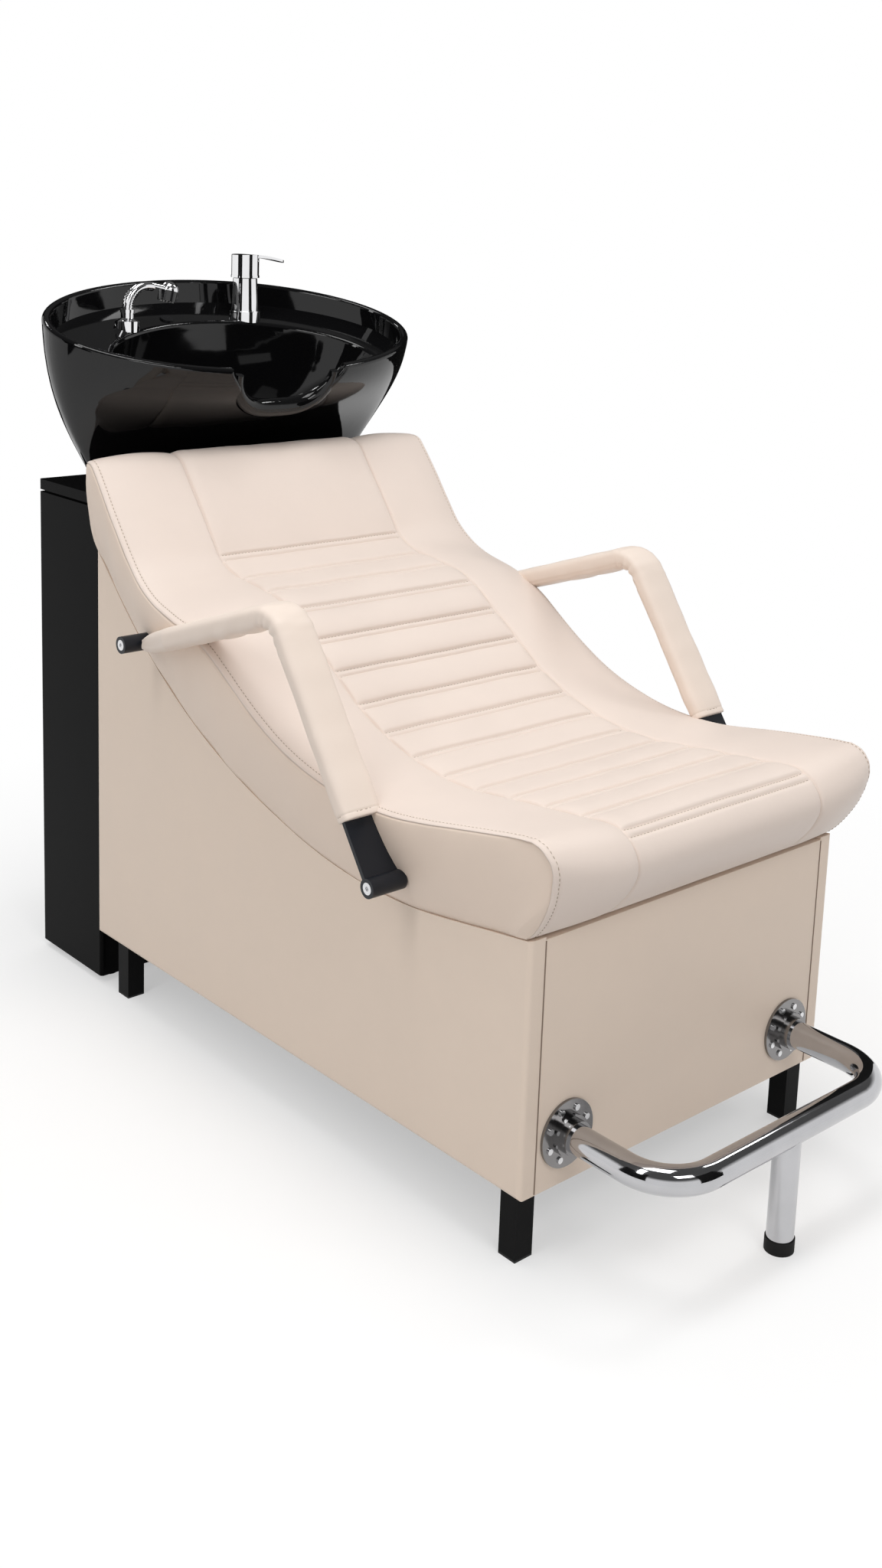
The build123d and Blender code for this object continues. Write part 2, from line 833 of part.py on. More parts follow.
def water_inlet(side):
    x = side * inlet_spacing / 2
    face = column_rear_y
    z = inlet_height
    fitting = lengthwise(inlet_radius, x, face - column_wall - pipe_run_inside, face + inlet_length
                         + inlet_nut_length, z)
    nut = Pos(x, face + inlet_nut_length / 2, z) * Rot(90, 0, 0) * extrude(
        RegularPolygon(inlet_nut_radius, 6), amount=inlet_nut_length / 2, both=True)
    fitting += nut
    bore = inlet_radius - spigot_wall
    fitting -= lengthwise(bore, x, face - 2 * pipe_run_inside - column_wall, face + 2 * inlet_length, z)
    return fitting


def drain_spigot():
    face = column_rear_y
    z = inlet_height
    rear = face + spigot_collar_length + spigot_length
    pipe = lengthwise(spigot_radius, 0, face - column_wall - pipe_run_inside, rear, z)
    pipe += lengthwise(spigot_collar_radius, 0, face, face + spigot_collar_length, z)
    bore = spigot_radius - spigot_wall
    pipe -= lengthwise(bore, 0, face - column_wall - 2 * pipe_run_inside, rear + overrun, z)
    return pipe


# Hinge and shroud

def neck_shroud():
    """The oval collar that stands on the column inside the basin's skirt."""
    y = basin_levels[0][0]

    def collar(grow, bottom, height):
        face = egg(y, bottom, 0, shroud_half_width + grow, shroud_front_reach + grow,
                   shroud_rear_reach + grow)
        return extrude(face, amount=height)

    shell = collar(0, column_top, shroud_top - column_top)
    shell += collar(shroud_ring_step, column_top, shroud_ring_height)
    return shell - collar(-shroud_wall, column_top - overrun, shroud_top)


def hinge_screw_places():
    x = (hinge_ear_half_gap + hinge_ear_thickness + hinge_base_half_width) / 2
    reach = hinge_ear_half_depth / 2
    return [(side * x, hinge_y + offset) for side in (-1, 1) for offset in (-reach, reach)]


def hinge_base():
    top = column_top + hinge_base_thickness
    depth = hinge_ear_half_depth
    base = block(-hinge_base_half_width, hinge_base_half_width, hinge_y - depth, hinge_y + depth,
                 column_top, top)
    for side in (-1, 1):
        near, far = side * hinge_ear_half_gap, side * (hinge_ear_half_gap + hinge_ear_thickness)
        base += block(near, far, hinge_y - depth, hinge_y + depth, top, hinge_z)
        base += crosswise(depth, near, far, hinge_y, hinge_z)
    base -= crosswise(hinge_pin_radius, -body_width, body_width, hinge_y, hinge_z)
    for x, y in hinge_screw_places():
        base -= upright(hinge_screw_radius, x, y, 0, top + overrun)
    return base


def hinge_screws():
    top = column_top + hinge_base_thickness
    screws = []
    for x, y in hinge_screw_places():
        screw = upright(hinge_screw_radius, x, y, column_top - hinge_screw_length, top)
        screw += upright(hinge_screw_head_radius - eased_edge, x, y, top, top + hinge_screw_head_height)
        screws.append(screw)
    return group(screws)


def hinge_pin():
    reach = hinge_ear_half_gap + hinge_ear_thickness + hinge_pin_overhang
    return crosswise(hinge_pin_radius, -reach, reach, hinge_y, hinge_z)


# Basin

def egg(y, z, tilt, half_width, front, rear):
    """An oval face on a plane tilted about X, with its own reach to the front and to the rear."""
    slant = math.radians(tilt)
    normal = (0, -math.sin(slant), math.cos(slant))
    frame = Plane(origin=(0, y, z), x_dir=(1, 0, 0), z_dir=normal)
    centre = (0, 0)
    rear_half = EllipticalCenterArc(centre, half_width, rear / math.cos(slant),
                                    start_angle=0, arc_size=180)
    front_half = EllipticalCenterArc(centre, half_width, front / math.cos(slant),
                                     start_angle=180, arc_size=180)
    return frame * make_face([rear_half, front_half])


def egg_loft(levels, tilts, grow=0, sink=0, extension=0):
    """A smooth solid through oval levels, grown outwards, sunk and carried on above the top one."""
    faces = [egg(y, z - sink, tilt, width + grow, front + grow, rear + grow)
             for (y, z, width, front, rear), tilt in zip(levels, tilts)]
    if extension:
        y, z, width, front, rear = levels[-1]
        tilt = tilts[-1]
        slant = math.radians(tilt)
        faces.append(egg(y - extension * math.sin(slant), z + extension * math.cos(slant), tilt,
                         width + grow, front + grow, rear + grow))
    return loft(faces)


rim_y, rim_z, rim_half_width, rim_front_reach, rim_rear_reach = basin_levels[-1]
front_rim_y = rim_y - rim_front_reach
front_rim_height = rim_z - rim_front_reach * math.tan(math.radians(basin_tilt_degrees[-1]))


def notch_tool():
    """The neck rest's rounded notch, as a bar that passes through the front wall."""
    top = 2 * deck_height - notch_height
    low, wide = notch_bottom_half_width, notch_top_half_width
    corners = [(-wide, top), (-wide, front_rim_height), (-low, notch_height), (low, notch_height),
               (wide, front_rim_height), (wide, top)]
    radii = [notch_shoulder_radius, notch_corner_radius, notch_corner_radius, notch_shoulder_radius]
    outline = FilletPolyline(corners, radius=radii)
    face = Plane.XZ * make_face([*outline.edges(), Line(outline @ 1, outline @ 0)])
    return Pos(0, rim_y - 2 * rim_front_reach, 0) * extrude(face, amount=-2 * rim_front_reach)


def crest_edges(body):
    """The long edges of the rim and of the neck rest, on both sides of the wall."""
    rim = body.faces().filter_by(GeomType.PLANE).sort_by(Axis.Z)[-1]
    front = [face for face in body.faces() if face.center().Y < front_rim_y + 5 * ceramic_wall
             and face.center().Z > notch_height - eased_edge]
    rest = [face for face in front if abs(face.normal_at().Y) < clearance / ceramic_wall]
    edges = [edge for face in (rim, *rest) for edge in face.edges()]
    return [edge for edge in edges if sum(edge.is_same(other) for other in edges) == 1]


def deck_at(y):
    """Height of the sloping deck at one place along the unit."""
    return deck_height + (y - deck_y) * math.tan(math.radians(basin_tilt_degrees[-1]))


def half_space(above, depth=0):
    """All that lies above or below the deck's plane, sunk by depth along its own slope."""
    size = 4 * deck_height
    middle = size / 2 - depth if above else -size / 2 - depth
    return Pos(0, deck_y, deck_height) * Rot(basin_tilt_degrees[-1], 0, 0) * Pos(0, 0, middle) * Box(
        size, size, size)


def neck_lip():
    """The rolled lip along the notch, thickest in the middle."""
    far = [Vector(*point) for point in lip_points]
    near = [Vector(-point.X, point.Y, point.Z) for point in far[:0:-1]]
    path = Spline(*near, *far)
    radii = (lip_end_radius, lip_radius, lip_end_radius)
    sections = [Plane(origin=path @ (number / 2), z_dir=path % (number / 2)) * Circle(radius)
                for number, radius in enumerate(radii)]
    return sweep(sections, path=path, multisection=True)


def basin_inside():
    return egg_loft(basin_levels, basin_tilt_degrees, grow=-ceramic_wall, extension=rim_extension)


def basin():
    """The basin's outer wall, with its rim, its open skirt and the neck rest."""
    body = egg_loft(basin_levels, basin_tilt_degrees) - basin_inside() - notch_tool()
    body = fillet(crest_edges(body), rim_radius)
    return body + (neck_lip() - basin_inside())


def deck_fittings():
    """Place and radius of the upright holes in the deck, with the radius of the nut below each."""
    return ((tap_place, tap_shank_radius, tap_nut_radius),
            (shower_place, socket_shank_radius, socket_nut_radius))


def basin_bowl():
    """The bowl and the deck behind it, which fill the basin's wall."""
    bowl = egg_loft(bowl_levels, bowl_tilt_degrees)
    outside = egg_loft(bowl_levels, bowl_tilt_degrees, grow=ceramic_floor, sink=ceramic_floor)
    slab = half_space(False) - half_space(False, ceramic_floor)
    body = basin_inside() & (outside + slab) - bowl - half_space(True)
    body -= notch_tool()
    deck = [face for face in body.faces().filter_by(GeomType.PLANE)
            if abs(face.center().Z - deck_at(face.center().Y)) < clearance]
    arch = max(deck, key=lambda face: face.area).edges().sort_by(SortBy.LENGTH)[-2]
    body = fillet(arch, deck_edge_radius)
    body -= upright(drain_hole_radius, 0, drain_y, 0, deck_height)
    for place, radius, nut_radius in deck_fittings():
        body -= upright(radius, *place, 0, 2 * deck_height)
        body -= upright(nut_radius + clearance, *place, 0, 2 * deck_height) & half_space(
            False, ceramic_floor)
    body -= deck_plug(hole_radius, ceramic_floor + overrun, overrun)
    for x, y in bracket_screw_places():
        body -= upright(bracket_screw_radius, x, y, 0, bracket_top + bracket_screw_depth)
    return body


def deck_plug(radius, depth, height):
    """A cylinder square to the deck at the hole cap, from below to above the deck's face."""
    x, y = hole_cap_place
    frame = Pos(x, y, deck_at(y)) * Rot(basin_tilt_degrees[-1], 0, 0)
    return frame * upright(radius, 0, 0, -depth, height)


def bracket_screw_places():
    return [(side * bracket_screw_x, drain_y + reach) for side in (-1, 1)
            for reach in (-bracket_screw_reach, bracket_screw_reach)]


bracket_top = bowl_levels[0][1] - ceramic_floor
bracket_under = bracket_top - bracket_thickness


def basin_bracket():
    width = bracket_half_width
    plate = block(-width, width, bracket_front_y, bracket_rear_y, bracket_under, bracket_top)
    plate = fillet(plate.edges().filter_by(Axis.Z), bracket_corner_radius)
    plate -= upright(bracket_hole_radius, 0, drain_y, 0, deck_height)
    for side in (-1, 1):
        far = side * (hinge_ear_half_gap - clearance)
        near = side * (hinge_ear_half_gap - clearance - 2 * knuckle_radius)
        plate += crosswise(knuckle_radius, near, far, hinge_y, hinge_z)
        plate += block(near, side * width, hinge_y - knuckle_radius / 2, hinge_y + knuckle_radius / 2,
                       hinge_z, bracket_top - bracket_thickness / 2)
    plate -= crosswise(hinge_pin_radius + running_fit, -body_width, body_width, hinge_y, hinge_z)
    for x, y in bracket_screw_places():
        plate -= upright(bracket_screw_radius, x, y, 0, deck_height)
    return plate


def bracket_screws():
    screws = []
    for x, y in bracket_screw_places():
        screw = upright(bracket_screw_radius, x, y, bracket_under, bracket_top + bracket_screw_depth)
        screw += upright(bracket_screw_head_radius, x, y,
                         bracket_under - bracket_screw_head_height, bracket_under)
        screws.append(screw)
    return group(screws)


floor_height = bowl_levels[0][1]


def drain_fitting():
    """The flanged waste body, let down through the bowl's floor."""
    top = floor_height + waste_flange_thickness
    body = upright(waste_flange_radius, 0, drain_y, floor_height, top)
    body += upright(waste_body_radius, 0, drain_y, waste_bottom, floor_height)
    body -= upright(waste_bore_radius - strainer_ledge, 0, drain_y, 0, top + overrun)
    body -= upright(waste_bore_radius, 0, drain_y, top - strainer_thickness, top + overrun)
    return body


def waste_nut():
    nut = upright(waste_nut_radius, 0, drain_y, bracket_under - waste_nut_height, bracket_under)
    return nut - upright(waste_body_radius, 0, drain_y, 0, deck_height)


def drain_strainer():
    top = floor_height + waste_flange_thickness
    disc = upright(strainer_radius, 0, drain_y, top - strainer_thickness, top)
    for number in range(strainer_hole_count):
        angle = 2 * math.pi * number / strainer_hole_count
        x = strainer_hole_circle * math.cos(angle)
        y = drain_y + strainer_hole_circle * math.sin(angle)
        disc -= upright(strainer_hole_radius, x, y, 0, deck_height)
    return disc + upright(strainer_knob_radius, 0, drain_y, top, top + strainer_knob_height)


def hole_cap():
    return deck_plug(hole_cap_radius, 0, hole_cap_height) + deck_plug(hole_radius, ceramic_floor, 0)


# Tap

tap_deck = deck_at(tap_place[1])
tap_body_top = tap_deck + tap_ring_height + tap_body_height
tap_pivot_height = tap_body_top + tap_handle_gap - tap_pivot_drop


def tap_body():
    """The upright body, its stepped ring cut to the deck's slope and its shank through the deck."""
    x, y = tap_place
    shoulder = tap_deck + tap_ring_height
    step = shoulder - tap_ring_step
    body = upright(tap_ring_radius - tap_ring_step, x, y, 0, shoulder)
    body += fillet(upright(tap_ring_radius, x, y, 0, step).edges().sort_by(Axis.Z)[-1], eased_edge)
    body += Pos(x, y, shoulder) * Cone(tap_foot_radius, tap_body_radius, tap_body_height,
                                       align=(Align.CENTER, Align.CENTER, Align.MIN))
    body = body & half_space(True)
    body += upright(tap_shank_radius, x, y, tap_deck - tap_shank_length, shoulder)
    return body - upright(tap_bore_radius + running_fit, x, y, tap_body_top - tap_bore_depth,
                          tap_body_top + overrun)


def deck_nut(place, shank_radius, radius, height):
    """A backing nut under the deck, cut to its slope."""
    middle = deck_at(place[1]) - ceramic_floor
    nut = Pos(*place, middle - height) * extrude(RegularPolygon(radius, 6), amount=2 * height)
    nut = nut & half_space(False, ceramic_floor)
    return nut - upright(shank_radius, *place, 0, 2 * deck_height)


def tap_cartridge():
    """The round cartridge that turns in the tap's body, slotted for the handle's rod."""
    x, y = tap_place
    core = upright(tap_bore_radius, x, y, tap_body_top - tap_bore_depth, tap_body_top)
    core -= block(x - tap_slot_reach, x + tap_slot_reach, y - tap_slot_half_width,
                  y + tap_slot_half_width, tap_body_top - tap_slot_depth, tap_body_top + overrun)
    return core - tap_pivot_pin()


def tap_pivot_pin():
    x, y = tap_place
    return lengthwise(tap_pivot_radius, x, y - tap_pivot_half_length, y + tap_pivot_half_length,
                      tap_pivot_height)


def tap_handle():
    """The cap under its arched lever towards +X, with the rod that reaches down to the pivot."""
    x, y = tap_place
    low = tap_body_top + tap_handle_gap
    high = low + tap_handle_height
    radius = tap_handle_radius
    root = high - tap_lever_thickness
    tip = tap_lever_reach
    tip_top = high - tap_lever_droop
    tip_under = tip_top - tap_lever_tip_thickness
    crest = ThreePointArc((-tip, tip_top), (0, high), (tip, tip_top))
    under = ThreePointArc((-tip, tip_under), (0, root), (tip, tip_under))
    below_crest = make_face([crest, *Polyline([crest @ 1, (tip, 0), (-tip, 0), crest @ 0]).edges()])
    above_under = make_face([under, *Polyline([under @ 1, (tip, 2 * high), (0, 2 * high), (-tip, 2 * high),
                                               under @ 0]).edges()])
    side_frame = Plane.XZ.offset(-2 * radius)
    blade = extrude(SlotOverall(2 * tip, 2 * tap_lever_half_width), amount=2 * high)
    blade = blade & extrude(side_frame * above_under, amount=4 * radius)
    blade = blade & block(radius / 2, 2 * tip, -tip, tip, 0, high)
    cap = upright(radius, 0, 0, low, high) + blade
    cap = cap & extrude(side_frame * below_crest, amount=4 * radius)
    cap += upright(radius + tap_handle_bead, 0, 0, low, low + tap_handle_bead_height)
    cap -= upright(radius - tap_handle_wall, 0, 0, low - overrun, root - tap_lever_thickness)
    cap = Pos(x, y, 0) * cap
    cap += upright(tap_rod_radius, x, y, tap_pivot_height, root)
    half = tap_slot_half_width - clearance
    cap += lengthwise(tap_rod_radius, x, y - half, y + half, tap_pivot_height)
    return cap - lengthwise(tap_pivot_radius + running_fit, x, y - radius, y + radius, tap_pivot_height)


# Hand shower

shower_deck = deck_at(shower_place[1])
socket_top = shower_deck + socket_height


def shower_socket():
    """The domed flange cut to the deck's slope, with its neck, its collar and its shank."""
    x, y = shower_place
    shoulder = shower_deck + socket_ring_height
    socket = upright(socket_ring_radius, x, y, 0, shoulder)
    socket += Pos(x, y, shoulder) * Cone(socket_ring_radius, socket_neck_radius, socket_dome_height
                                         - socket_ring_height, align=(Align.CENTER, Align.CENTER, Align.MIN))
    socket += upright(socket_neck_radius, x, y, shoulder, socket_top)
    socket += upright(socket_collar_radius, x, y, socket_top - socket_collar_height, socket_top)
    socket = socket & half_space(True)
    socket += upright(socket_shank_radius, x, y, shower_deck - socket_shank_length, shoulder)
    return socket - upright(socket_bore_radius, x, y, 0, socket_top + overrun)


def handset_path():
    """Up from the socket, over the bend and down at the head's lean, towards +X."""
    x, y = shower_place
    high = socket_top + handset_rise
    apex = high + handset_reach * math.tan(math.radians(handset_head_lean))
    return FilletPolyline([(x, y, socket_top - handset_stem_depth), (x, y, apex),
                           (x + handset_reach, y, high)], radius=handset_bend_radius)


def handset_frame():
    """Where the shower head sits: the end of the handle, leaning with it."""
    return Pos(*(handset_path() @ 1)) * Rot(0, handset_head_lean, 0)


def handset_handle():
    """The bent handle with its ribbed neck, its widening grip and the dome over the head."""
    path = handset_path()
    section = Plane(origin=path @ 0, z_dir=path % 0) * Circle(handset_stem_radius)
    handle = sweep(section, path=path)
    for number in range(handset_rib_count):
        distance = handset_stem_depth + (number + 1) * handset_rib_pitch
        place = path.position_at(distance, position_mode=PositionMode.LENGTH)
        along = path.tangent_at(distance, position_mode=PositionMode.LENGTH)
        handle += Plane(origin=place, z_dir=along) * Cylinder(handset_rib_radius, handset_rib_pitch / 2)
    grip = Rot(0, 90, 0) * Cone(handset_stem_radius, handset_grip_radius, handset_grip_length,
                                align=(Align.CENTER, Align.CENTER, Align.MAX))
    dome = Sphere(handset_head_radius)
    face = upright(2 * handset_head_radius, 0, 0, -2 * handset_face_depth, 0)
    return handle + handset_frame() * grip + handset_frame() * dome - handset_frame() * face


def handset_head():
    return handset_frame() * upright(handset_head_radius, 0, 0, -handset_face_depth, 0)


def handset_nozzles():
    nozzles = []
    for number in range(handset_nozzle_count):
        angle = 2 * math.pi * number / handset_nozzle_count
        x = handset_nozzle_circle * math.cos(angle)
        y = handset_nozzle_circle * math.sin(angle)
        nozzles.append(handset_frame() * upright(handset_nozzle_radius, x, y, -handset_face_depth
                                                 - handset_nozzle_length, -handset_face_depth))
    return group(nozzles)


# All nodes

save("seat_cushion", cushion())
for name, side in handed:
    save(f"seat_rib_{name}", seat_rib(side))
    save(f"side_panel_{name}", side_panel(side))
    save(f"armrest_frame_{name}", armrest_frame(side))
    save(f"armrest_sleeve_{name}", armrest_sleeve(side))
    save(f"foot_flange_{name}", foot_flange(side))
    save(f"water_inlet_{name}", water_inlet(side))
save("armrest_bolts", armrest_bolts())
save("front_panel", front_panel())
save("rear_panel", rear_panel())
save("seat_board", seat_board())
save("cross_rails", cross_rails())
save("base_board", base_board())
for name, place in leg_places().items():
    save(name, leg(*place))
save("leg_glides", leg_glides())
save("foot_bar", foot_bar())
save("flange_screws", flange_screws())
save("foot_bar_leg", foot_bar_leg())
save("foot_leg_cap", foot_leg_cap())
save("column_body", column_body())
save("column_top_plate", column_top_plate())
save("column_feet", column_feet())
save("service_panel", service_panel())
save("service_screws", service_screws())
save("drain_spigot", drain_spigot())
save("neck_shroud", neck_shroud())
save("hinge_base", hinge_base())
save("hinge_screws", hinge_screws())
save("hinge_pin", hinge_pin())
save("basin", basin())
save("basin_bowl", basin_bowl())
save("basin_bracket", basin_bracket())
save("bracket_screws", bracket_screws())
save("drain_fitting", drain_fitting())
save("waste_nut", waste_nut())
save("drain_strainer", drain_strainer())
save("hole_cap", hole_cap())
save("tap_body", tap_body())
save("tap_nut", deck_nut(tap_place, tap_shank_radius, tap_nut_radius, tap_nut_height))
save("tap_cartridge", tap_cartridge())
save("tap_pivot_pin", tap_pivot_pin())
save("tap_handle", tap_handle())
save("shower_socket", shower_socket())
save("socket_nut", deck_nut(shower_place, socket_shank_radius, socket_nut_radius, socket_nut_height))
save("handset_handle", handset_handle())
save("handset_head", handset_head())
save("handset_nozzles", handset_nozzles())
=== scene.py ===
import json
import math

import bpy
import numpy as np
from mathutils import Matrix, Vector


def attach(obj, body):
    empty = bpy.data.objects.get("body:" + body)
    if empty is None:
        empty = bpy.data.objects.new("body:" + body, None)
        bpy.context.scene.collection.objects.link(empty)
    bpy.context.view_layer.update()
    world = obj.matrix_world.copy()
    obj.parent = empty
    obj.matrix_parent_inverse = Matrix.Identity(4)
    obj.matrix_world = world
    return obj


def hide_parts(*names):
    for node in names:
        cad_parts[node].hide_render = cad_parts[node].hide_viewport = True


# Backwash unit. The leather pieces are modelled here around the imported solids, and every other
# solid gets its finish here. Lengths are in millimetres, from the floor and from the front panel's
# face, until placed() turns them into metres of the shared frame. The floor, lamps and cards are
# in metres from the start.

REAR_SHIFT = -517.0
MILLIMETRE = 0.001

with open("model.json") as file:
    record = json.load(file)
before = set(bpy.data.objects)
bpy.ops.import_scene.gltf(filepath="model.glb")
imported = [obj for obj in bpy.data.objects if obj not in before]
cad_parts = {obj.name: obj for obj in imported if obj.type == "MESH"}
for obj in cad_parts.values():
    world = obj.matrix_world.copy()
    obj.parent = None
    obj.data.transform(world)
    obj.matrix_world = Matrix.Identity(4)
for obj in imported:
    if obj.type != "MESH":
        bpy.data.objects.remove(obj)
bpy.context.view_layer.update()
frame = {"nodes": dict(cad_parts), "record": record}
nodes = frame["nodes"]
scene = bpy.context.scene


def placed(points):
    """One (x, y, z) or rows of them, in millimetres, turned into metres of the shared frame."""
    return (np.asarray(points, float) + np.array([0.0, REAR_SHIFT, 0.0])) * MILLIMETRE


# Camera

CAMERA_AZIMUTH = -41.998
CAMERA_ELEVATION = 11.089
CAMERA_ROLL = 2.025
CAMERA_PLACE = (-1666.4, -1331.7, 1300.6)
CAMERA_CLIP = (0.05, 60.0)
FOCAL_PIXELS = 2231.37
FRAME_HEIGHT = 2048
AXIS_ROW = 700
SENSOR = 36.0


def add_camera():
    data = bpy.data.cameras.new("camera")
    data.sensor_width = SENSOR
    data.lens = FOCAL_PIXELS / FRAME_HEIGHT * SENSOR
    data.shift_y = (AXIS_ROW - FRAME_HEIGHT / 2) / FRAME_HEIGHT
    data.clip_start, data.clip_end = CAMERA_CLIP
    azimuth, elevation = math.radians(CAMERA_AZIMUTH), math.radians(CAMERA_ELEVATION)
    back = Vector((math.sin(azimuth) * math.cos(elevation), -math.cos(azimuth) * math.cos(elevation),
                   math.sin(elevation)))
    right = Vector((0, 0, 1)).cross(back).normalized()
    up = back.cross(right)
    turn, lean = math.cos(math.radians(CAMERA_ROLL)), math.sin(math.radians(CAMERA_ROLL))
    rows = (right * turn + up * lean, up * turn - right * lean, back)
    camera = bpy.data.objects.new("camera", data)
    camera.matrix_world = (Matrix.Translation(Vector(placed(CAMERA_PLACE)))
                           @ Matrix(rows).transposed().to_4x4())
    scene.collection.objects.link(camera)
    scene.camera = camera


add_camera()

# Materials

NOISE_RANGE = (0.3, 0.7)
LEATHER_SPECULAR = 0.42
GLAZE_SPECULAR = 0.42
COAT_ROUGHNESS = 0.04
PLYWOOD_STRETCH = (1, 0.06, 1)
BRUSHED_SCALE, POLISHED_SCALE = 260.0, 22.0
BRUSHED_BUMP, POLISHED_BUMP = 0.12, 0.02


def new_material(name):
    material = bpy.data.materials.new(name)
    material.use_nodes = True
    tree = material.node_tree
    return material, tree, tree.nodes["Principled BSDF"]


def adjust(node, **values):
    """Sets a node's properties or inputs; an input's spaces are written as underscores."""
    for key, value in values.items():
        if hasattr(node, key):
            setattr(node, key, value)
        else:
            node.inputs[key.replace("_", " ")].default_value = value
    return node


def add(tree, kind, **values):
    return adjust(tree.nodes.new(kind), **values)


def coordinates(tree, scale=(1, 1, 1)):
    source = add(tree, "ShaderNodeTexCoord")
    mapping = add(tree, "ShaderNodeMapping", Scale=scale)
    tree.links.new(source.outputs["Object"], mapping.inputs["Vector"])
    return mapping.outputs["Vector"]


def noise(tree, vector, scale, detail=3.0, roughness=0.5):
    node = add(tree, "ShaderNodeTexNoise", Scale=scale, Detail=detail, Roughness=roughness)
    tree.links.new(vector, node.inputs["Vector"])
    return node.outputs["Fac"]


def ramp(tree, source, low, high, low_at=0.0, high_at=1.0):
    node = tree.nodes.new("ShaderNodeValToRGB")
    for element, position, colour in zip(node.color_ramp.elements, (low_at, high_at), (low, high)):
        element.position, element.color = position, colour
    tree.links.new(source, node.inputs["Fac"])
    return node.outputs["Color"]


def span(tree, source, low, high, low_at=0.0, high_at=1.0):
    node = add(tree, "ShaderNodeMapRange", From_Min=low_at, From_Max=high_at, To_Min=low, To_Max=high)
    tree.links.new(source, node.inputs["Value"])
    return node.outputs["Result"]


def tinted(tree, shader, source, colour, low, high, limits=NOISE_RANGE):
    """Lets a noise vary the base colour between two factors of it."""
    low_colour, high_colour = (
        (*[min(1.0, part * factor) for part in colour], 1.0) for factor in (low, high))
    tree.links.new(ramp(tree, source, low_colour, high_colour, *limits), shader.inputs["Base Color"])


def uneven(tree, shader, source, low, high):
    """Lets a noise vary the roughness between two values."""
    tree.links.new(span(tree, source, low, high, *NOISE_RANGE), shader.inputs["Roughness"])


def bump(tree, shader, layers):
    """Stacks bumps, each a (height, strength, distance in metres), onto the shader's normal."""
    last = None
    for height, strength, distance in layers:
        node = add(tree, "ShaderNodeBump", Strength=strength, Distance=distance)
        tree.links.new(height, node.inputs["Height"])
        if last:
            tree.links.new(last, node.inputs["Normal"])
        last = node.outputs["Normal"]
    tree.links.new(last, shader.inputs["Normal"])


def leather(name, colour, gloss=0.5):
    """Fine-grained upholstery leather: a pebbled grain, faint mottling and a soft sheen."""
    material, tree, shader = new_material(name)
    vector = coordinates(tree)
    grain = add(tree, "ShaderNodeTexVoronoi", Scale=900.0, feature="F1")
    tree.links.new(vector, grain.inputs["Vector"])
    pores = noise(tree, vector, scale=2600.0, detail=2.0)
    mottle = noise(tree, vector, scale=9.0, detail=5.0, roughness=0.62)
    drape = noise(tree, vector, scale=34.0, detail=3.0)
    tinted(tree, shader, mottle, colour, 0.985, 1.015)
    uneven(tree, shader, mottle, gloss - 0.05, gloss + 0.06)
    adjust(shader, Specular_IOR_Level=LEATHER_SPECULAR, Sheen_Weight=0.12, Sheen_Roughness=0.5)
    bump(tree, shader, [(drape, 0.35, 0.0006), (grain.outputs["Distance"], 0.22, 0.0002),
                        (pores, 0.15, 0.0001)])
    return material


def thread(name, colour):
    """Twisted sewing thread."""
    material, tree, shader = new_material(name)
    twist = noise(tree, coordinates(tree), scale=1500.0, detail=2.0)
    tinted(tree, shader, twist, colour, 0.88, 1.05, limits=(0.0, 1.0))
    adjust(shader, Roughness=0.62)
    bump(tree, shader, [(twist, 0.4, 0.0002)])
    return material


def satin(name, colour, roughness, grain_scale=700.0, coat=0.0, specular=0.5):
    """Powder coat, laminate or moulded plastic: a fine orange-peel and slightly uneven gloss."""
    material, tree, shader = new_material(name)
    vector = coordinates(tree)
    peel = noise(tree, vector, scale=grain_scale, detail=2.0)
    cloud = noise(tree, vector, scale=14.0, detail=4.0)
    tinted(tree, shader, cloud, colour, 0.9, 1.1)
    uneven(tree, shader, cloud, roughness * 0.92, roughness * 1.1)
    adjust(shader, Specular_IOR_Level=specular, Coat_Weight=coat, Coat_Roughness=COAT_ROUGHNESS)
    bump(tree, shader, [(peel, 0.3, 0.00008)])
    return material


def metal(name, colour, roughness, brushed=None):
    """Polished, smoked or brushed metal, with faint wiping marks."""
    material, tree, shader = new_material(name)
    vector = coordinates(tree, brushed or (1, 1, 1))
    marks = noise(tree, vector, scale=BRUSHED_SCALE if brushed else POLISHED_SCALE, detail=4.0)
    tinted(tree, shader, marks, colour, 0.95, 1.03)
    uneven(tree, shader, marks, roughness * 0.8, roughness * 1.3)
    adjust(shader, Metallic=1.0)
    bump(tree, shader, [(marks, BRUSHED_BUMP if brushed else POLISHED_BUMP, 0.0001)])
    return material


def glaze(name, colour):
    """Thick black glaze over fired clay, mirror-smooth with a slow wave."""
    material, tree, shader = new_material(name)
    vector = coordinates(tree)
    wave = noise(tree, vector, scale=11.0, detail=2.0)
    speck = noise(tree, vector, scale=420.0, detail=2.0)
    tinted(tree, shader, speck, colour, 0.8, 1.2)
    uneven(tree, shader, wave, 0.03, 0.07)
    adjust(shader, Specular_IOR_Level=GLAZE_SPECULAR)
    bump(tree, shader, [(wave, 0.2, 0.0012)])
    return material


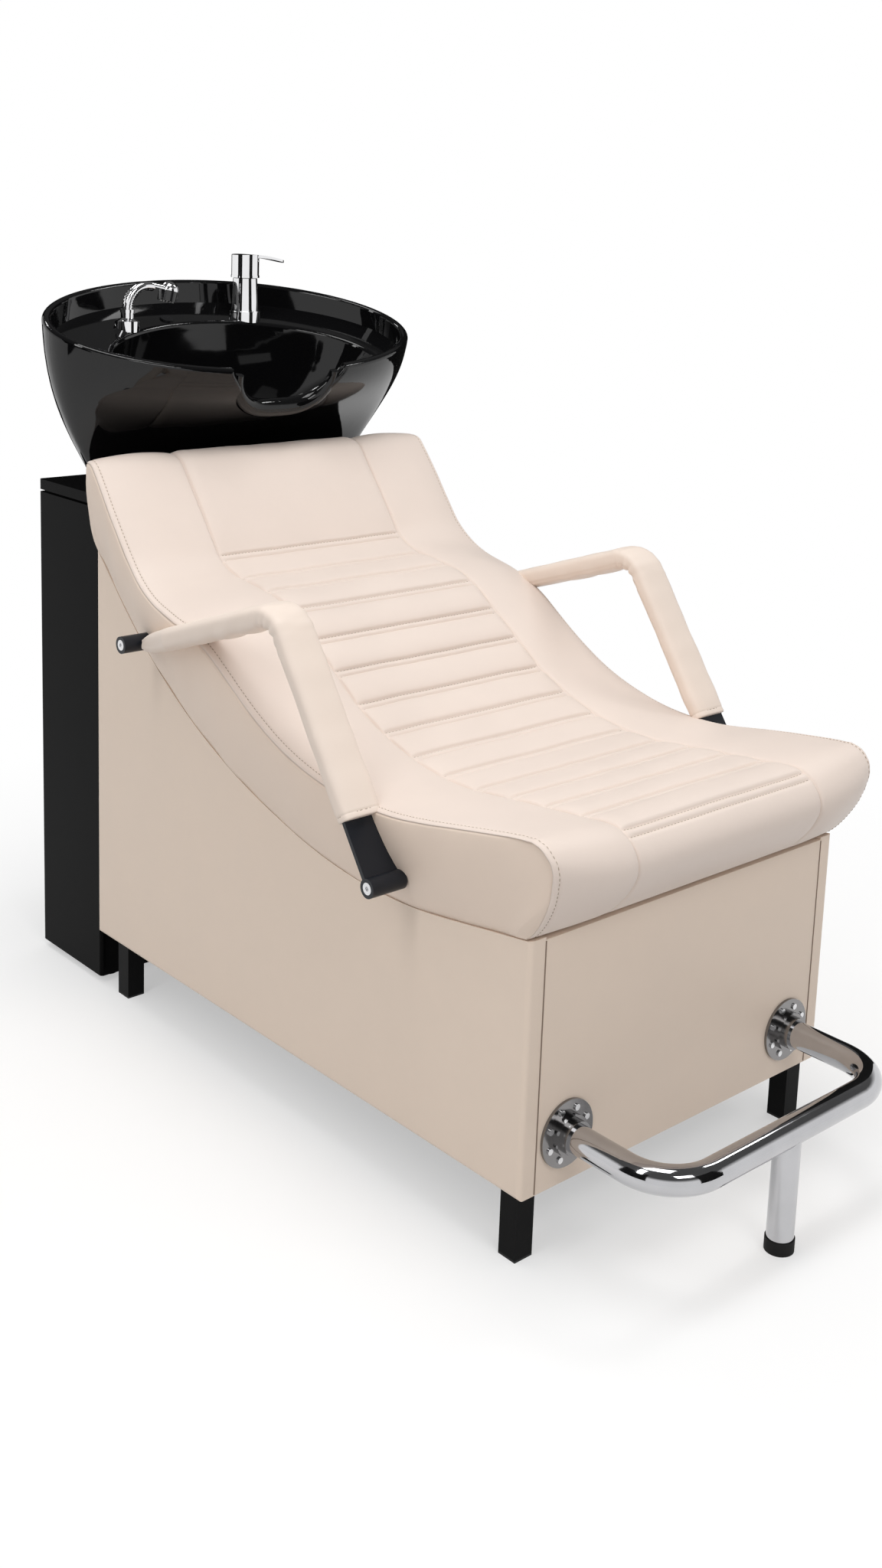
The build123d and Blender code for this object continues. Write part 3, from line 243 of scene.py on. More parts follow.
def plywood(name, colour):
    """Birch plywood, with grain along Y and its plies seen on edge."""
    material, tree, shader = new_material(name)
    grain = noise(tree, coordinates(tree, PLYWOOD_STRETCH), scale=90.0, detail=6.0, roughness=0.6)
    plies = add(tree, "ShaderNodeTexWave", Scale=120.0, bands_direction="X")
    tree.links.new(coordinates(tree), plies.inputs["Vector"])
    tinted(tree, shader, grain, colour, 0.75, 1.15, limits=(0.35, 0.65))
    adjust(shader, Roughness=0.6)
    bump(tree, shader, [(grain, 0.3, 0.0003), (plies.outputs["Fac"], 0.1, 0.0002)])
    return material


BEIGE = (0.79, 0.675, 0.60)
# Warmer copies of the cream are painted light. They stand in for the warmer light that falls on the
# cushion's side band, the box panels and the sleeves.
BAND_WARM_LIGHT_BEIGE = (0.82, 0.675, 0.565)
PANEL_WARM_LIGHT_BEIGE = (0.82, 0.68, 0.565)
SLEEVE_WARM_LIGHT_BEIGE = (0.82, 0.70, 0.61)
RECIPES = {
    "cream_leather": (leather, BEIGE, {}),
    "sleeve_leather": (leather, SLEEVE_WARM_LIGHT_BEIGE, {}),
    "band_leather": (leather, BAND_WARM_LIGHT_BEIGE, {}),
    "panel_leather": (leather, PANEL_WARM_LIGHT_BEIGE, dict(gloss=0.46)),
    "base_laminate": (satin, (0.02, 0.02, 0.02), dict(roughness=0.45, specular=0.25)),
    "thread": (thread, (0.42, 0.33, 0.25), {}),
    # Painted shade: the dark colour of the thin tubes laid in the box's seams.
    "seam_shadow": (satin, (0.26, 0.19, 0.145), dict(roughness=0.8, specular=0.2)),
    "rib_wood": (plywood, (0.55, 0.38, 0.22), {}),
    "frame_steel": (satin, (0.010, 0.012, 0.017), dict(roughness=0.36, specular=0.3)),
    "black_metal": (satin, (0.003, 0.003, 0.0032), dict(roughness=0.34, specular=0.06)),
    "bolt_steel": (metal, (0.72, 0.72, 0.73), dict(roughness=0.22)),
    "bar_chrome": (metal, (0.53, 0.53, 0.545), dict(roughness=0.07)),
    "dark_chrome": (metal, (0.26, 0.255, 0.255), dict(roughness=0.14)),
    "column_laminate": (satin, (0.003, 0.003, 0.0031), dict(roughness=0.24, specular=0.03)),
    "foot_rubber": (satin, (0.015, 0.015, 0.015), dict(roughness=0.75, grain_scale=1200.0, specular=0.2)),
    "glide_plastic": (satin, (0.015, 0.015, 0.015), dict(roughness=0.5, specular=0.2)),
    "shroud_plastic": (satin, (0.008, 0.008, 0.009), dict(roughness=0.16, specular=0.35)),
    "basin_ceramic": (glaze, (0.003, 0.003, 0.0033), {}),
    "tap_chrome": (metal, (0.82, 0.82, 0.83), dict(roughness=0.04)),
    "inner_brass": (metal, (0.75, 0.55, 0.26), dict(roughness=0.3, brushed=(1, 1, 8))),
    "waste_steel": (metal, (0.66, 0.66, 0.67), dict(roughness=0.18)),
    "pipe_plastic": (satin, (0.62, 0.62, 0.60), dict(roughness=0.45)),
    "handset_black": (satin, (0.01, 0.01, 0.011), dict(roughness=0.18, coat=0.3)),
    "flag_cloth": (satin, (0.012, 0.012, 0.012), dict(roughness=0.9, specular=0.1)),
    "nozzle_silicone": (satin, (0.75, 0.75, 0.74), dict(roughness=0.55)),
}
looks = {name: make(name, colour, **options) for name, (make, colour, options) in RECIPES.items()}

for entry in frame["record"]["subparts"]:
    node = nodes[entry["node"]]
    look = looks.get(entry["material_slot"], looks["frame_steel"])
    node.data.materials.clear()
    node.data.materials.append(look)

# Shapes

CURVE_STEP = 2.0
LEAST_LENGTH = 1e-9

# Waves of the slow unevenness, how far each is stretched, and what brings their sum to about 1
NOISE_WAVES = 7
NOISE_STRETCH = (0.7, 1.5)
NOISE_SUM = 3.5


def mesh_piece(name, points, faces, material, body):
    """A smooth mesh of the part, from points in millimetres, that rides on a body."""
    data = bpy.data.meshes.new(name)
    data.from_pydata([tuple(point) for point in placed(points)], [], faces)
    data.update()
    for polygon in data.polygons:
        polygon.use_smooth = True
    data.materials.append(looks[material])
    piece = bpy.data.objects.new(name, data)
    scene.collection.objects.link(piece)
    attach(piece, body)
    return piece


def ring_faces(rings, around):
    """The faces that join each closed ring of points to the next one."""
    faces = []
    for ring in range(rings - 1):
        for corner in range(around):
            after = (corner + 1) % around
            faces.append((ring * around + corner, ring * around + after,
                          (ring + 1) * around + after, (ring + 1) * around + corner))
    return faces


def end_faces(rings, around):
    """The two faces that close the first and the last ring."""
    return [tuple(range(around - 1, -1, -1)), tuple(range((rings - 1) * around, rings * around))]


def unit_vectors(vectors):
    """The same directions, each with length 1."""
    return vectors / np.linalg.norm(vectors, axis=-1, keepdims=True)


def valley(distance, width):
    """1 at a seam, falling to 0 a few widths away from it."""
    return np.exp(-(distance / width) ** 2)


def ridge(distance, height, width):
    """The height of a ridge along a seam, or the depth of a groove that is taken away."""
    return height * valley(distance, width)


def ramped(distance, length):
    """0 at the start of a length, 1 at its end and past it."""
    return np.clip(distance / length, 0, 1)


def eased(share):
    """The same share with a soft start and a soft end."""
    return share * share * (3 - 2 * share)


def hump(share, power):
    """0 at both ends of a share and 1 in its middle, the fuller the smaller the power."""
    return np.clip(4 * share * (1 - share), 0, 1) ** power


def soft_noise(x, y, z, scale, seed):
    """A slow smooth unevenness, between about -1 and 1."""
    value = np.zeros_like(y)
    draws = np.random.RandomState(seed)
    for _ in range(NOISE_WAVES):
        direction = draws.normal(size=3)
        direction /= np.linalg.norm(direction)
        wave = 2 * math.pi / (scale * draws.uniform(*NOISE_STRETCH))
        phase = draws.uniform(0, 2 * math.pi)
        value += np.sin(wave * (direction[0] * x + direction[1] * y + direction[2] * z) + phase)
    return value / NOISE_SUM


def rounded(points, step=CURVE_STEP):
    """A (y, z, radius) line as closely spaced points, with the place along it of each corner."""
    corners = [np.array(point[:2], float) for point in points]
    run, marks, travelled = [corners[0]], [0.0], 0.0

    def go(target):
        nonlocal travelled
        travelled += float(np.linalg.norm(target - run[-1]))
        run.append(target)

    for index in range(1, len(points) - 1):
        before, corner, after = corners[index - 1], corners[index], corners[index + 1]
        first, second = unit_vectors(corner - before), unit_vectors(after - corner)
        cross = float(first[0] * second[1] - first[1] * second[0])
        turn = math.atan2(cross, float(first @ second))
        radius = points[index][2]
        reach = radius * math.tan(abs(turn) / 2)
        side = math.copysign(1.0, turn)
        centre = corner - first * reach + side * radius * np.array([-first[1], first[0]])
        count = 2 * max(2, int(radius * abs(turn) / step / 2))
        start_angle = math.atan2(-side * first[0], side * first[1])
        for number in range(count + 1):
            angle = start_angle + turn * number / count
            go(centre + radius * np.array([math.cos(angle), math.sin(angle)]))
            if number == count // 2:
                marks.append(travelled)
    go(corners[-1])
    marks.append(travelled)
    return np.array(run), np.array(marks)


def lengths_along(run):
    """How far along a run each of its points is."""
    return np.concatenate([[0.0], np.cumsum(np.linalg.norm(np.diff(run, axis=0), axis=1))])


def read_run(run, lengths, distance):
    """The (y, z) points of a run at distances along it."""
    return np.stack([np.interp(distance, lengths, run[:, axis]) for axis in (0, 1)], axis=-1)


class Guide:
    """A line in the side view, read at 0 for its start, 1, 2 ... for its corners, and its end."""

    def __init__(self, points):
        self.run, self.marks = rounded(points)
        self.lengths = lengths_along(self.run)

    def distance(self, station):
        return np.interp(station, np.arange(len(self.marks)), self.marks)

    def station(self, distance):
        return np.interp(distance, self.marks, np.arange(len(self.marks)))

    def at(self, station):
        return read_run(self.run, self.lengths, self.distance(station))


# Cushion

SEAT_LINE = ((8, 438, 0), (322, 390, 800), (760, 510, 950), (998, 744, 0))
MIDDLE_LINE = ((8, 438, 0), (-76, 571, 32), (377, 520, 450), (654, 708, 190), (815, 727, 95),
               (1003, 962, 38), (998, 744, 0))
SIDE_LINE = ((10, 438, 0), (-44, 581, 24), (389, 505, 500), (658, 675, 290), (817, 711, 190),
             (992, 929, 24), (995, 742, 0))
FRONT_CORNER = 1
REAR_CORNER = 5
SEAM_X = 182.0
WELT_X = 333.0
UNDER_X = 298.6

# Half the width between the welts, at depths along the side line
EDGE_DEPTHS = (-42, 8, 100, 154, 252, 360, 440, 570, 654, 714, 771, 845, 903, 955, 975, 992)
EDGE_WIDTHS = (317, 318, 327, 331, 330, 332, 334, 336, 338, 343, 340, 335, 336, 334, 331, 326)

# How the surface goes over from the middle line to the side line, as (weight, power) of the way out
FALL_TERMS = ((0.55, 1.35), (0.45, 2.6))

# Stitched strips across the middle panel
STRIP_COUNT = 15
STRIP_FIRST_Y = -28.0
STRIP_LAST_Y = 826.0
STRIP_HALF = 5.6
SEARCH_TOLERANCE = 0.1

# Rows and columns of the mesh
FRONT_ROWS, FRONT_ROWS_GAP = 34, 12.0
STRIP_OFFSETS = (-10.5, -8.2, -6.8, -5.6, -4.4, -2.4, 0.0, 2.4, 4.4, 5.6, 6.8, 8.2, 10.5)
CHANNEL_ROWS = 10
REAR_ROWS, REAR_ROWS_GAP = 84, 14.0
PANEL_COLUMNS, PANEL_COLUMNS_GAP = 11, 26
SEAM_OFFSETS = (-19, -14, -10, -7, -4.5, -2.6, -1.2, 0, 1.2, 2.6, 4.5, 7, 10, 15)
WING_COLUMNS, WING_COLUMNS_GAPS = 14, (21, 24)
WELT_OFFSETS = (19, 15, 12.4, 10.8, 9.8, 9.0, 8.2, 7.2, 5.5, 3.6, 2.2, 1.2, 0.4)

# Grooves and ridges, as (height, width)
STRIP_GROOVE = (2.6, 1.5)
STRIP_RIDGE = (0.9, 3.0)
PANEL_GROOVE = (2.6, 1.8)
WELT_GROOVE = (1.6, 1.6)
TOPSTITCH_GROOVE = (0.9, 1.3)
WELT_BAND = 9.0

# Stuffing between the seams, as heights and powers, and where it ends, as stations and lengths
CHANNEL_PUFF, CHANNEL_POWER = 6.0, 0.55
HEAD_PUFF, HEAD_END = 7.0, 5.35
FRONT_PUFF, FRONT_START = 3.0, 0.1
WING_PUFF, PUFF_POWER = 7.5, 0.6
PANEL_EDGE, PANEL_POWER = 16.0, 0.5
END_LENGTH = 90.0

# Slow unevenness, as height, scale and seed
TOP_UNEVENNESS = (0.7, 120.0, 3)
BAND_UNEVENNESS = (0.8, 90.0, 11)

# Puckers beside the welts at the front corners
PUCKER_HEIGHT = 0.35
PUCKER_REACH = 60.0
PUCKER_PLACE, PUCKER_WIDTH = 7.0, 8.0
PUCKER_WAVES = ((1.0, 2.6, 0.0), (0.6, 1.7, 1.0))

# The roll over the front edge
FRONT_ROLL = 20.0
ROLL_RISE = 75.0
ROLL_PAST = 62.0
ROLL_FALL = 125.0
ROLL_POWER = 0.7
ROLL_DIRECTION = (0.0, -0.93, -0.36)

# The band below the welts: its lower edge along the seat line at each corner, and its rows
UNDER_SHARES = (0.0, 0.035, 0.37, 0.65, 0.79, 0.965, 1.0)
BAND_SHARES = (0.0, 0.012, 0.03, 0.06, 0.12, 0.2, 0.3, 0.4, 0.5, 0.6, 0.7, 0.8, 0.88, 0.94, 1.0)
BAND_SWELL, BAND_POWER = 10.0, 0.75
BAND_FULL_HEIGHT = 90.0
CORNER_TUCK = (5.0, 40.0)
WELT_TUCK = 1.2

middle_guide = Guide(MIDDLE_LINE)
side_guide = Guide(SIDE_LINE)
front_corner = middle_guide.distance(FRONT_CORNER)
total_length = middle_guide.marks[-1]


def middle_distance(y):
    """How far along the middle line its upper side passes a depth."""
    low, high = front_corner, middle_guide.distance(REAR_CORNER)
    while high - low > SEARCH_TOLERANCE:
        half = (low + high) / 2
        if middle_guide.at(middle_guide.station(half))[0] < y:
            low = half
        else:
            high = half
    return low


first_strip = middle_distance(STRIP_FIRST_Y)
strip_pitch = (middle_distance(STRIP_LAST_Y) - first_strip) / (STRIP_COUNT - 1)
strips = [first_strip + number * strip_pitch for number in range(STRIP_COUNT)]


def row_places():
    """Distances along the middle line of the mesh rows, close together at the stitched strips."""
    places = list(np.linspace(0.0, first_strip - FRONT_ROWS_GAP, FRONT_ROWS))
    for strip in strips:
        places += [strip + offset for offset in STRIP_OFFSETS]
        if strip != strips[-1]:
            start, end = strip + STRIP_OFFSETS[-1], strip + strip_pitch + STRIP_OFFSETS[0]
            places += list(np.linspace(start, end, CHANNEL_ROWS)[1:-1])
    places += list(np.linspace(strips[-1] + REAR_ROWS_GAP, total_length, REAR_ROWS))
    return np.array(places)


def column_places():
    """Places across the top, from the middle to the welt, close together at the seams."""
    panel = list(np.linspace(0, SEAM_X - PANEL_COLUMNS_GAP, PANEL_COLUMNS))
    seam = [SEAM_X + offset for offset in SEAM_OFFSETS]
    inner, outer = WING_COLUMNS_GAPS
    wing = list(np.linspace(SEAM_X + inner, WELT_X - outer, WING_COLUMNS))
    return np.array(panel + seam + wing + [WELT_X - offset for offset in WELT_OFFSETS])


def edge_half_width(station):
    """Half the width between the two welts: it widens where the armrests meet the back."""
    width = np.interp(side_guide.at(station)[:, 0], EDGE_DEPTHS, EDGE_WIDTHS)
    front, rear = EDGE_WIDTHS[0] - UNDER_X, EDGE_WIDTHS[-1] - UNDER_X
    width = np.where(station < FRONT_CORNER, UNDER_X + front * station, width)
    return np.where(station > REAR_CORNER, EDGE_WIDTHS[-1] - rear * (station - REAR_CORNER), width)


def channel_height(distance):
    """How far the middle panel stands over its strips, and sinks at their two stitch lines."""
    channels = [(low + STRIP_HALF, high - STRIP_HALF, CHANNEL_PUFF, CHANNEL_POWER)
                for low, high in zip(strips, strips[1:])]
    channels += [(strips[-1] + STRIP_HALF, middle_guide.distance(HEAD_END), HEAD_PUFF, PUFF_POWER),
                 (middle_guide.distance(FRONT_START), strips[0] - STRIP_HALF, FRONT_PUFF, PUFF_POWER)]
    height = np.zeros_like(distance)
    for low, high, puff, power in channels:
        height += puff * hump(ramped(distance - low, high - low), power)
    for strip in strips:
        for side in (-1, 1):
            height -= ridge(distance - strip - side * STRIP_HALF, *STRIP_GROOVE)
        height += ridge(distance - strip, *STRIP_RIDGE)
    return height


def front_roll(distance):
    """How far the front face bulges as it rolls over from under the cushion to its top."""
    rise = ramped(distance, ROLL_RISE)
    fall = ramped(front_corner + ROLL_PAST - distance, ROLL_FALL)
    return FRONT_ROLL * (1 - (1 - rise) ** 2) ** ROLL_POWER * eased(fall)


def welt_puckers(rows, inboard):
    """Small gathers beside the welts where they turn the front corners."""
    waves = sum(share * np.sin(rows / length + phase) for share, length, phase in PUCKER_WAVES)
    upright = valley(rows - front_corner, PUCKER_REACH)
    return PUCKER_HEIGHT * (upright * waves)[:, None] * valley(inboard - PUCKER_PLACE, PUCKER_WIDTH)


def top_surface(rows, columns):
    """The leather over the cushion's top, from the middle out to the welt, and its directions out."""
    station = middle_guide.station(rows)
    inner, outer = middle_guide.at(station), side_guide.at(station)
    way_out = ramped(columns - SEAM_X, WELT_X - SEAM_X)
    share = sum(weight * way_out ** power for weight, power in FALL_TERMS)[None, :, None]
    line = inner[:, None, :] * (1 - share) + outer[:, None, :] * share
    widths = edge_half_width(station)[:, None]
    spread = (widths - SEAM_X) / (WELT_X - SEAM_X)
    x = np.where(columns > SEAM_X, SEAM_X + (columns - SEAM_X) * spread, columns)
    base = np.stack([x, line[..., 0], line[..., 1]], axis=-1)
    normal = np.cross(np.gradient(base, axis=1), np.gradient(base, axis=0))
    normal /= np.linalg.norm(normal, axis=-1, keepdims=True) + LEAST_LENGTH
    inboard = widths - x
    ends = ramped(np.minimum(rows, total_length - rows), END_LENGTH)[:, None]
    height = channel_height(rows)[:, None] * ramped(SEAM_X - x, PANEL_EDGE) ** PANEL_POWER
    height -= ridge(inboard - WELT_BAND, *TOPSTITCH_GROOVE) + ridge(inboard, *WELT_GROOVE)
    height += welt_puckers(rows, inboard)
    height += WING_PUFF * hump(ramped(x - SEAM_X, widths - SEAM_X), PUFF_POWER) * ends
    height -= ridge(x - SEAM_X, *PANEL_GROOVE)
    unevenness, scale, seed = TOP_UNEVENNESS
    height += unevenness * soft_noise(*np.moveaxis(base, -1, 0), scale, seed) * ends
    surface = base + normal * height[..., None]
    surface += front_roll(rows)[:, None, None] * np.array(ROLL_DIRECTION)
    return surface, normal, station


def side_band(edge, station):
    """Rows of points down the drawn-in side, from the welt to the line on the box."""
    run, _ = rounded(SEAT_LINE)
    lengths = lengths_along(run)
    distance = np.interp(station, range(len(UNDER_SHARES)), UNDER_SHARES) * lengths[-1]
    low = np.column_stack([np.full(len(station), UNDER_X), read_run(run, lengths, distance)])
    shares = np.array(BAND_SHARES)
    share = shares[None, :, None]
    band = edge[:, None, :] * (1 - share) + low[:, None, :] * share
    tall = ramped(np.linalg.norm(low - edge, axis=1)[:, None], BAND_FULL_HEIGHT)
    unevenness, scale, seed = BAND_UNEVENNESS
    swell = BAND_SWELL * hump(shares, BAND_POWER)[None, :]
    swell = swell + unevenness * soft_noise(*np.moveaxis(band, -1, 0), scale, seed)
    band[..., 0] += tall * swell
    return band


def build_cushion(top, station):
    """The whole cover as closed rings, mirrored across the middle, with the band in a warmer copy of the
    leather, which paints the warm light on the sides.
    """
    rows, columns = top.shape[:2]
    edge = top[:, -1, :].copy()
    edge[:, 0] = edge_half_width(station) - ridge(top_rows - front_corner, *CORNER_TUCK)
    band = side_band(edge, station)
    band[:, 0, 0] -= WELT_TUCK
    half = np.concatenate([top, band], axis=1)
    left = half[:, 1:, :] * np.array([-1.0, 1.0, 1.0])
    rings = np.concatenate([left[:, ::-1, :], half], axis=1)
    around, middle = rings.shape[1], left.shape[1]
    faces = ring_faces(rows, around) + end_faces(rows, around)
    piece = mesh_piece("cushion_cover", rings.reshape(-1, 3), faces, "cream_leather", "unit")
    # The band's faces take the warmer copy of the leather, as painted light.
    piece.data.materials.append(looks["band_leather"])
    face_columns = np.arange((rows - 1) * around) % around + 0.5
    on_band = np.append(np.abs(face_columns - middle) > columns, (True, True))
    piece.data.polygons.foreach_set("material_index", on_band.astype(np.int32))
    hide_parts("seat_cushion")


top_rows, top_columns = row_places(), column_places()
top, top_normal, top_station = top_surface(top_rows, top_columns)
build_cushion(top, top_station)

# Stitches

# A stitch's rings, as (share along it, girth, rise)
STITCH_RINGS = ((0.0, 0.5, -0.6), (0.16, 0.95, 0.1), (0.5, 1.0, 0.55), (0.84, 0.95, 0.1), (1.0, 0.5, -0.6))
STITCH_CORNERS = 6
STITCH_RADIUS = 0.55
SLEEVE_STITCH_RADIUS = 0.5
STITCH_LIFT = 0.45
STITCH_LENGTH = 4.0
STITCH_PITCH = 6.2
STRIP_STITCH_INSET = 4.0
WELT_STITCH_INSET = 8.0


def circle(corners, side, up):
    """The directions from a line to the corners of the tube around it."""
    angles = [2 * math.pi * corner / corners for corner in range(corners)]
    return [side * math.cos(angle) + up * math.sin(angle) for angle in angles]


def sew(name, starts, ends, normals, body, radius=STITCH_RADIUS):
    """Short stitches between two rows of points, each a thread that dives in at both ends."""
    starts, ends, normals = (np.asarray(rows, float) for rows in (starts, ends, normals))
    along = unit_vectors(ends - starts)
    side = unit_vectors(np.cross(normals, along))
    up = np.cross(along, side)
    points = []
    for share, girth, rise in STITCH_RINGS:
        middle = starts * (1 - share) + ends * share + up * (STITCH_LIFT * rise)
        points += [middle + out * radius * girth for out in circle(STITCH_CORNERS, side, up)]
    points = np.stack(points, axis=1)
    pattern = ring_faces(len(STITCH_RINGS), STITCH_CORNERS)
    faces = [tuple(number * points.shape[1] + corner for corner in face)
             for number in range(len(points)) for face in pattern]
    return mesh_piece(name, points.reshape(-1, 3), faces, "thread", body)


def bilinear(grid, row, column):
    """Reads a grid of vectors between its rows and columns, at matching arrays of places."""
    low_row = np.clip(row.astype(int), 0, grid.shape[0] - 2)
    low_column = np.clip(column.astype(int), 0, grid.shape[1] - 2)
    down, over = (row - low_row)[:, None], (column - low_column)[:, None]
    near = grid[low_row, low_column] * (1 - over) + grid[low_row, low_column + 1] * over
    far = grid[low_row + 1, low_column] * (1 - over) + grid[low_row + 1, low_column + 1] * over
    return near * (1 - down) + far * down


def on_top(distance, x):
    """Point and outward direction on the leather at a distance along it and a place across it."""
    row = np.interp(distance, top_rows, np.arange(len(top_rows)))
    column = np.interp(np.abs(x), top_columns, np.arange(len(top_columns)))
    mirror = np.stack([np.where(x < 0, -1.0, 1.0), np.ones(len(x)), np.ones(len(x))], axis=1)
    return bilinear(top, row, column) * mirror, bilinear(top_normal, row, column) * mirror


def dashes(length):
    """Start and end distances of the stitches that fill a length."""
    count = int(length / STITCH_PITCH)
    starts = (np.arange(count) + 0.5) * length / count - STITCH_LENGTH / 2
    return starts, starts + STITCH_LENGTH


def sew_cushion():
    """Two stitch lines on every strip, and the topstitching inside both welts."""
    rows = []

    def add_row(low_distance, low_x, high_distance, high_x):
        first, up = on_top(low_distance, low_x)
        last, _ = on_top(high_distance, high_x)
        rows.append((first, last, up))

    inset = SEAM_X - STRIP_STITCH_INSET
    low, high = dashes(2 * inset)
    for strip in strips:
        for side in (-1, 1):
            line = np.full(len(low), strip + side * STRIP_HALF)
            add_row(line, low - inset, line, high - inset)
    length = lengths_along(top[:, -1, :])
    low, high = (np.interp(dash + WELT_STITCH_INSET, length, top_rows)
                 for dash in dashes(length[-1] - 2 * WELT_STITCH_INSET))
    for side in (-1, 1):
        across = np.full(len(low), side * (WELT_X - WELT_BAND))
        add_row(low, across, high, across)
    sew("cushion_stitching", *(np.concatenate(part) for part in zip(*rows)), "unit")


sew_cushion()

# Armrest sleeves

ARM_LINE = ((217, 452, 0), (436, 766, 45), (802, 638.5, 0))
ARM_STEP = 1.0
ARM_INNER_X = 317.0
ARM_OUTER_X = 379.0
SLEEVE_FRONT_HEMS = {-1: 88.0, 1: 99.0}
SLEEVE_REAR_HEM = 20.0
SLEEVE_SEEDS = {-1: 9, 1: 5}

# Mesh of a sleeve: places across its hems, from an end inwards, and of the rings between them
HEM_PLACES = np.array([0.0, 0.7, 1.8, 3.2, 5.0, 6.6, 7.6, 8.4, 9.4, 11.0, 13.5])
RING_GAPS = (16.0, 15.0)
RING_PITCH = 2.4
SLEEVE_AROUND = 56
SLEEVE_SQUARENESS = 2.0 / 3.4

# Half thickness before the bend and what it gains past it, with the shift of the sleeve's middle
FRONT_HALF = 13.5
REST_SWELL = 3.6
REST_OFFSET = -6.5
REST_LEAD, REST_LENGTH = 40.0, 90.0

# The narrow rear end, with the gather at its mouth
TAPER_LENGTH = 120.0
TAPER_NARROW = 31.0
TAPER_THIN = 3.0
GATHER_LENGTH, GATHER_POWER = 48.0, 1.5
GATHER_THIN = 4.6

# Hems, seam, creases and puckers, as heights and lengths, and waves as (height, length, twist)
HEM_WIDTH = 8.0
HEM_TURN, HEM_TURN_LENGTH = 1.5, 1.6
HEM_GROOVE = (0.8, 1.1)
END_SWELL, END_RISE, END_STOP, END_FALL = 0.9, 25.0, 120.0, 100.0
CREASE_HEIGHT, CREASE_REACH, CREASE_TOP_SHARE = 2.9, 36.0, 0.25
CREASE_SINK = 0.5
CREASE_LENGTH, CREASE_WANDER, CREASE_TWIST = 5.2, 0.5, 2.2
CREASE_FINE = (0.4, 2.9, 3.0)
SLACK_PLACE, SLACK_REACH = 95.0, 60.0
SLACK_WAVE = (1.9, 9.0, 1.8)
END_PUCKERS = (0.35, 22.0, 9)
REAR_PUCKERS = (0.7, 42.0, 7)
SEAM_ANGLE, SEAM_GROOVE = 200.0, (1.2, 5.0)
SLEEVE_UNEVENNESS = (0.5, 55.0)

# The mouths close in on the bar
BAR_MARGIN = 2.4
BAR_HALF = 3.4

# Stitches of a hem, as shares of their pitch
LEAST_STITCH_SHARE = 0.6
STITCH_SHARES = (0.2, 0.8)


def sleeve_sizes(distance, bend, total):
    """The sleeve's outer side, its half thickness, and how far its middle is off the bar's line."""
    past = eased(ramped(distance - bend + REST_LEAD, REST_LENGTH))
    taper = ramped(distance - (total - TAPER_LENGTH), TAPER_LENGTH)
    gather = np.clip(1 - (total - SLEEVE_REAR_HEM - distance) / GATHER_LENGTH, 0, 1) ** GATHER_POWER
    thick = FRONT_HALF + REST_SWELL * past - TAPER_THIN * taper - GATHER_THIN * gather
    return ARM_OUTER_X - TAPER_NARROW * taper, thick, REST_OFFSET * past


def sleeve_relief(from_front, from_rear, from_bend, angles, turn, seed):
    """How far the leather stands out: hems, creases below the bend, puckers at the ends, a seam."""
    end = np.minimum(from_front, from_rear)
    across, upward = turn
    under = np.clip(-upward, 0, 1)
    turned = HEM_TURN * np.clip(1 - end / HEM_TURN_LENGTH, 0, 1) ** 2
    swell = END_SWELL * ramped(end - HEM_WIDTH, END_RISE) * ramped(END_STOP - end, END_FALL)
    ends = swell - turned - ridge(end - HEM_WIDTH, *HEM_GROOVE)
    wander = CREASE_WANDER * np.sin(across * CREASE_TWIST + seed)
    fine, length, twist = CREASE_FINE
    crease = np.abs(np.sin(from_bend / CREASE_LENGTH + wander)) - CREASE_SINK
    crease += fine * np.sin(from_bend / length + twist * across)
    near = ridge(from_bend, CREASE_HEIGHT, CREASE_REACH)
    slack, length, twist = SLACK_WAVE
    slack = ridge(from_bend - SLACK_PLACE, slack, SLACK_REACH) * under
    pull = near * (CREASE_TOP_SHARE + under) * crease
    pull += slack * np.sin(from_bend / length + twist * across)
    puckers = 0
    for place, (height, reach, count) in ((end, END_PUCKERS), (from_rear, REAR_PUCKERS)):
        puckers = puckers + ridge(place, height, reach) * np.sin(angles * count + seed)
    return ends + pull + puckers - ridge(np.degrees(angles) - SEAM_ANGLE, *SEAM_GROOVE)


def hem_stitches(ring):
    """Start, end and outward direction of the stitches that go round one ring of a sleeve."""
    stitches = []
    for corner in range(SLEEVE_AROUND):
        start, stop = ring[corner], ring[(corner + 1) % SLEEVE_AROUND]
        length = float(np.linalg.norm(stop - start))
        if length <= LEAST_STITCH_SHARE * STITCH_PITCH:
            continue
        outward = unit_vectors(start - ring.mean(axis=0))
        count = max(1, int(length / STITCH_PITCH + 0.5))
        for number in range(count):
            low, high = ((number + share) / count for share in STITCH_SHARES)
            stitches.append((start * (1 - low) + stop * low, start * (1 - high) + stop * high, outward))
    return stitches


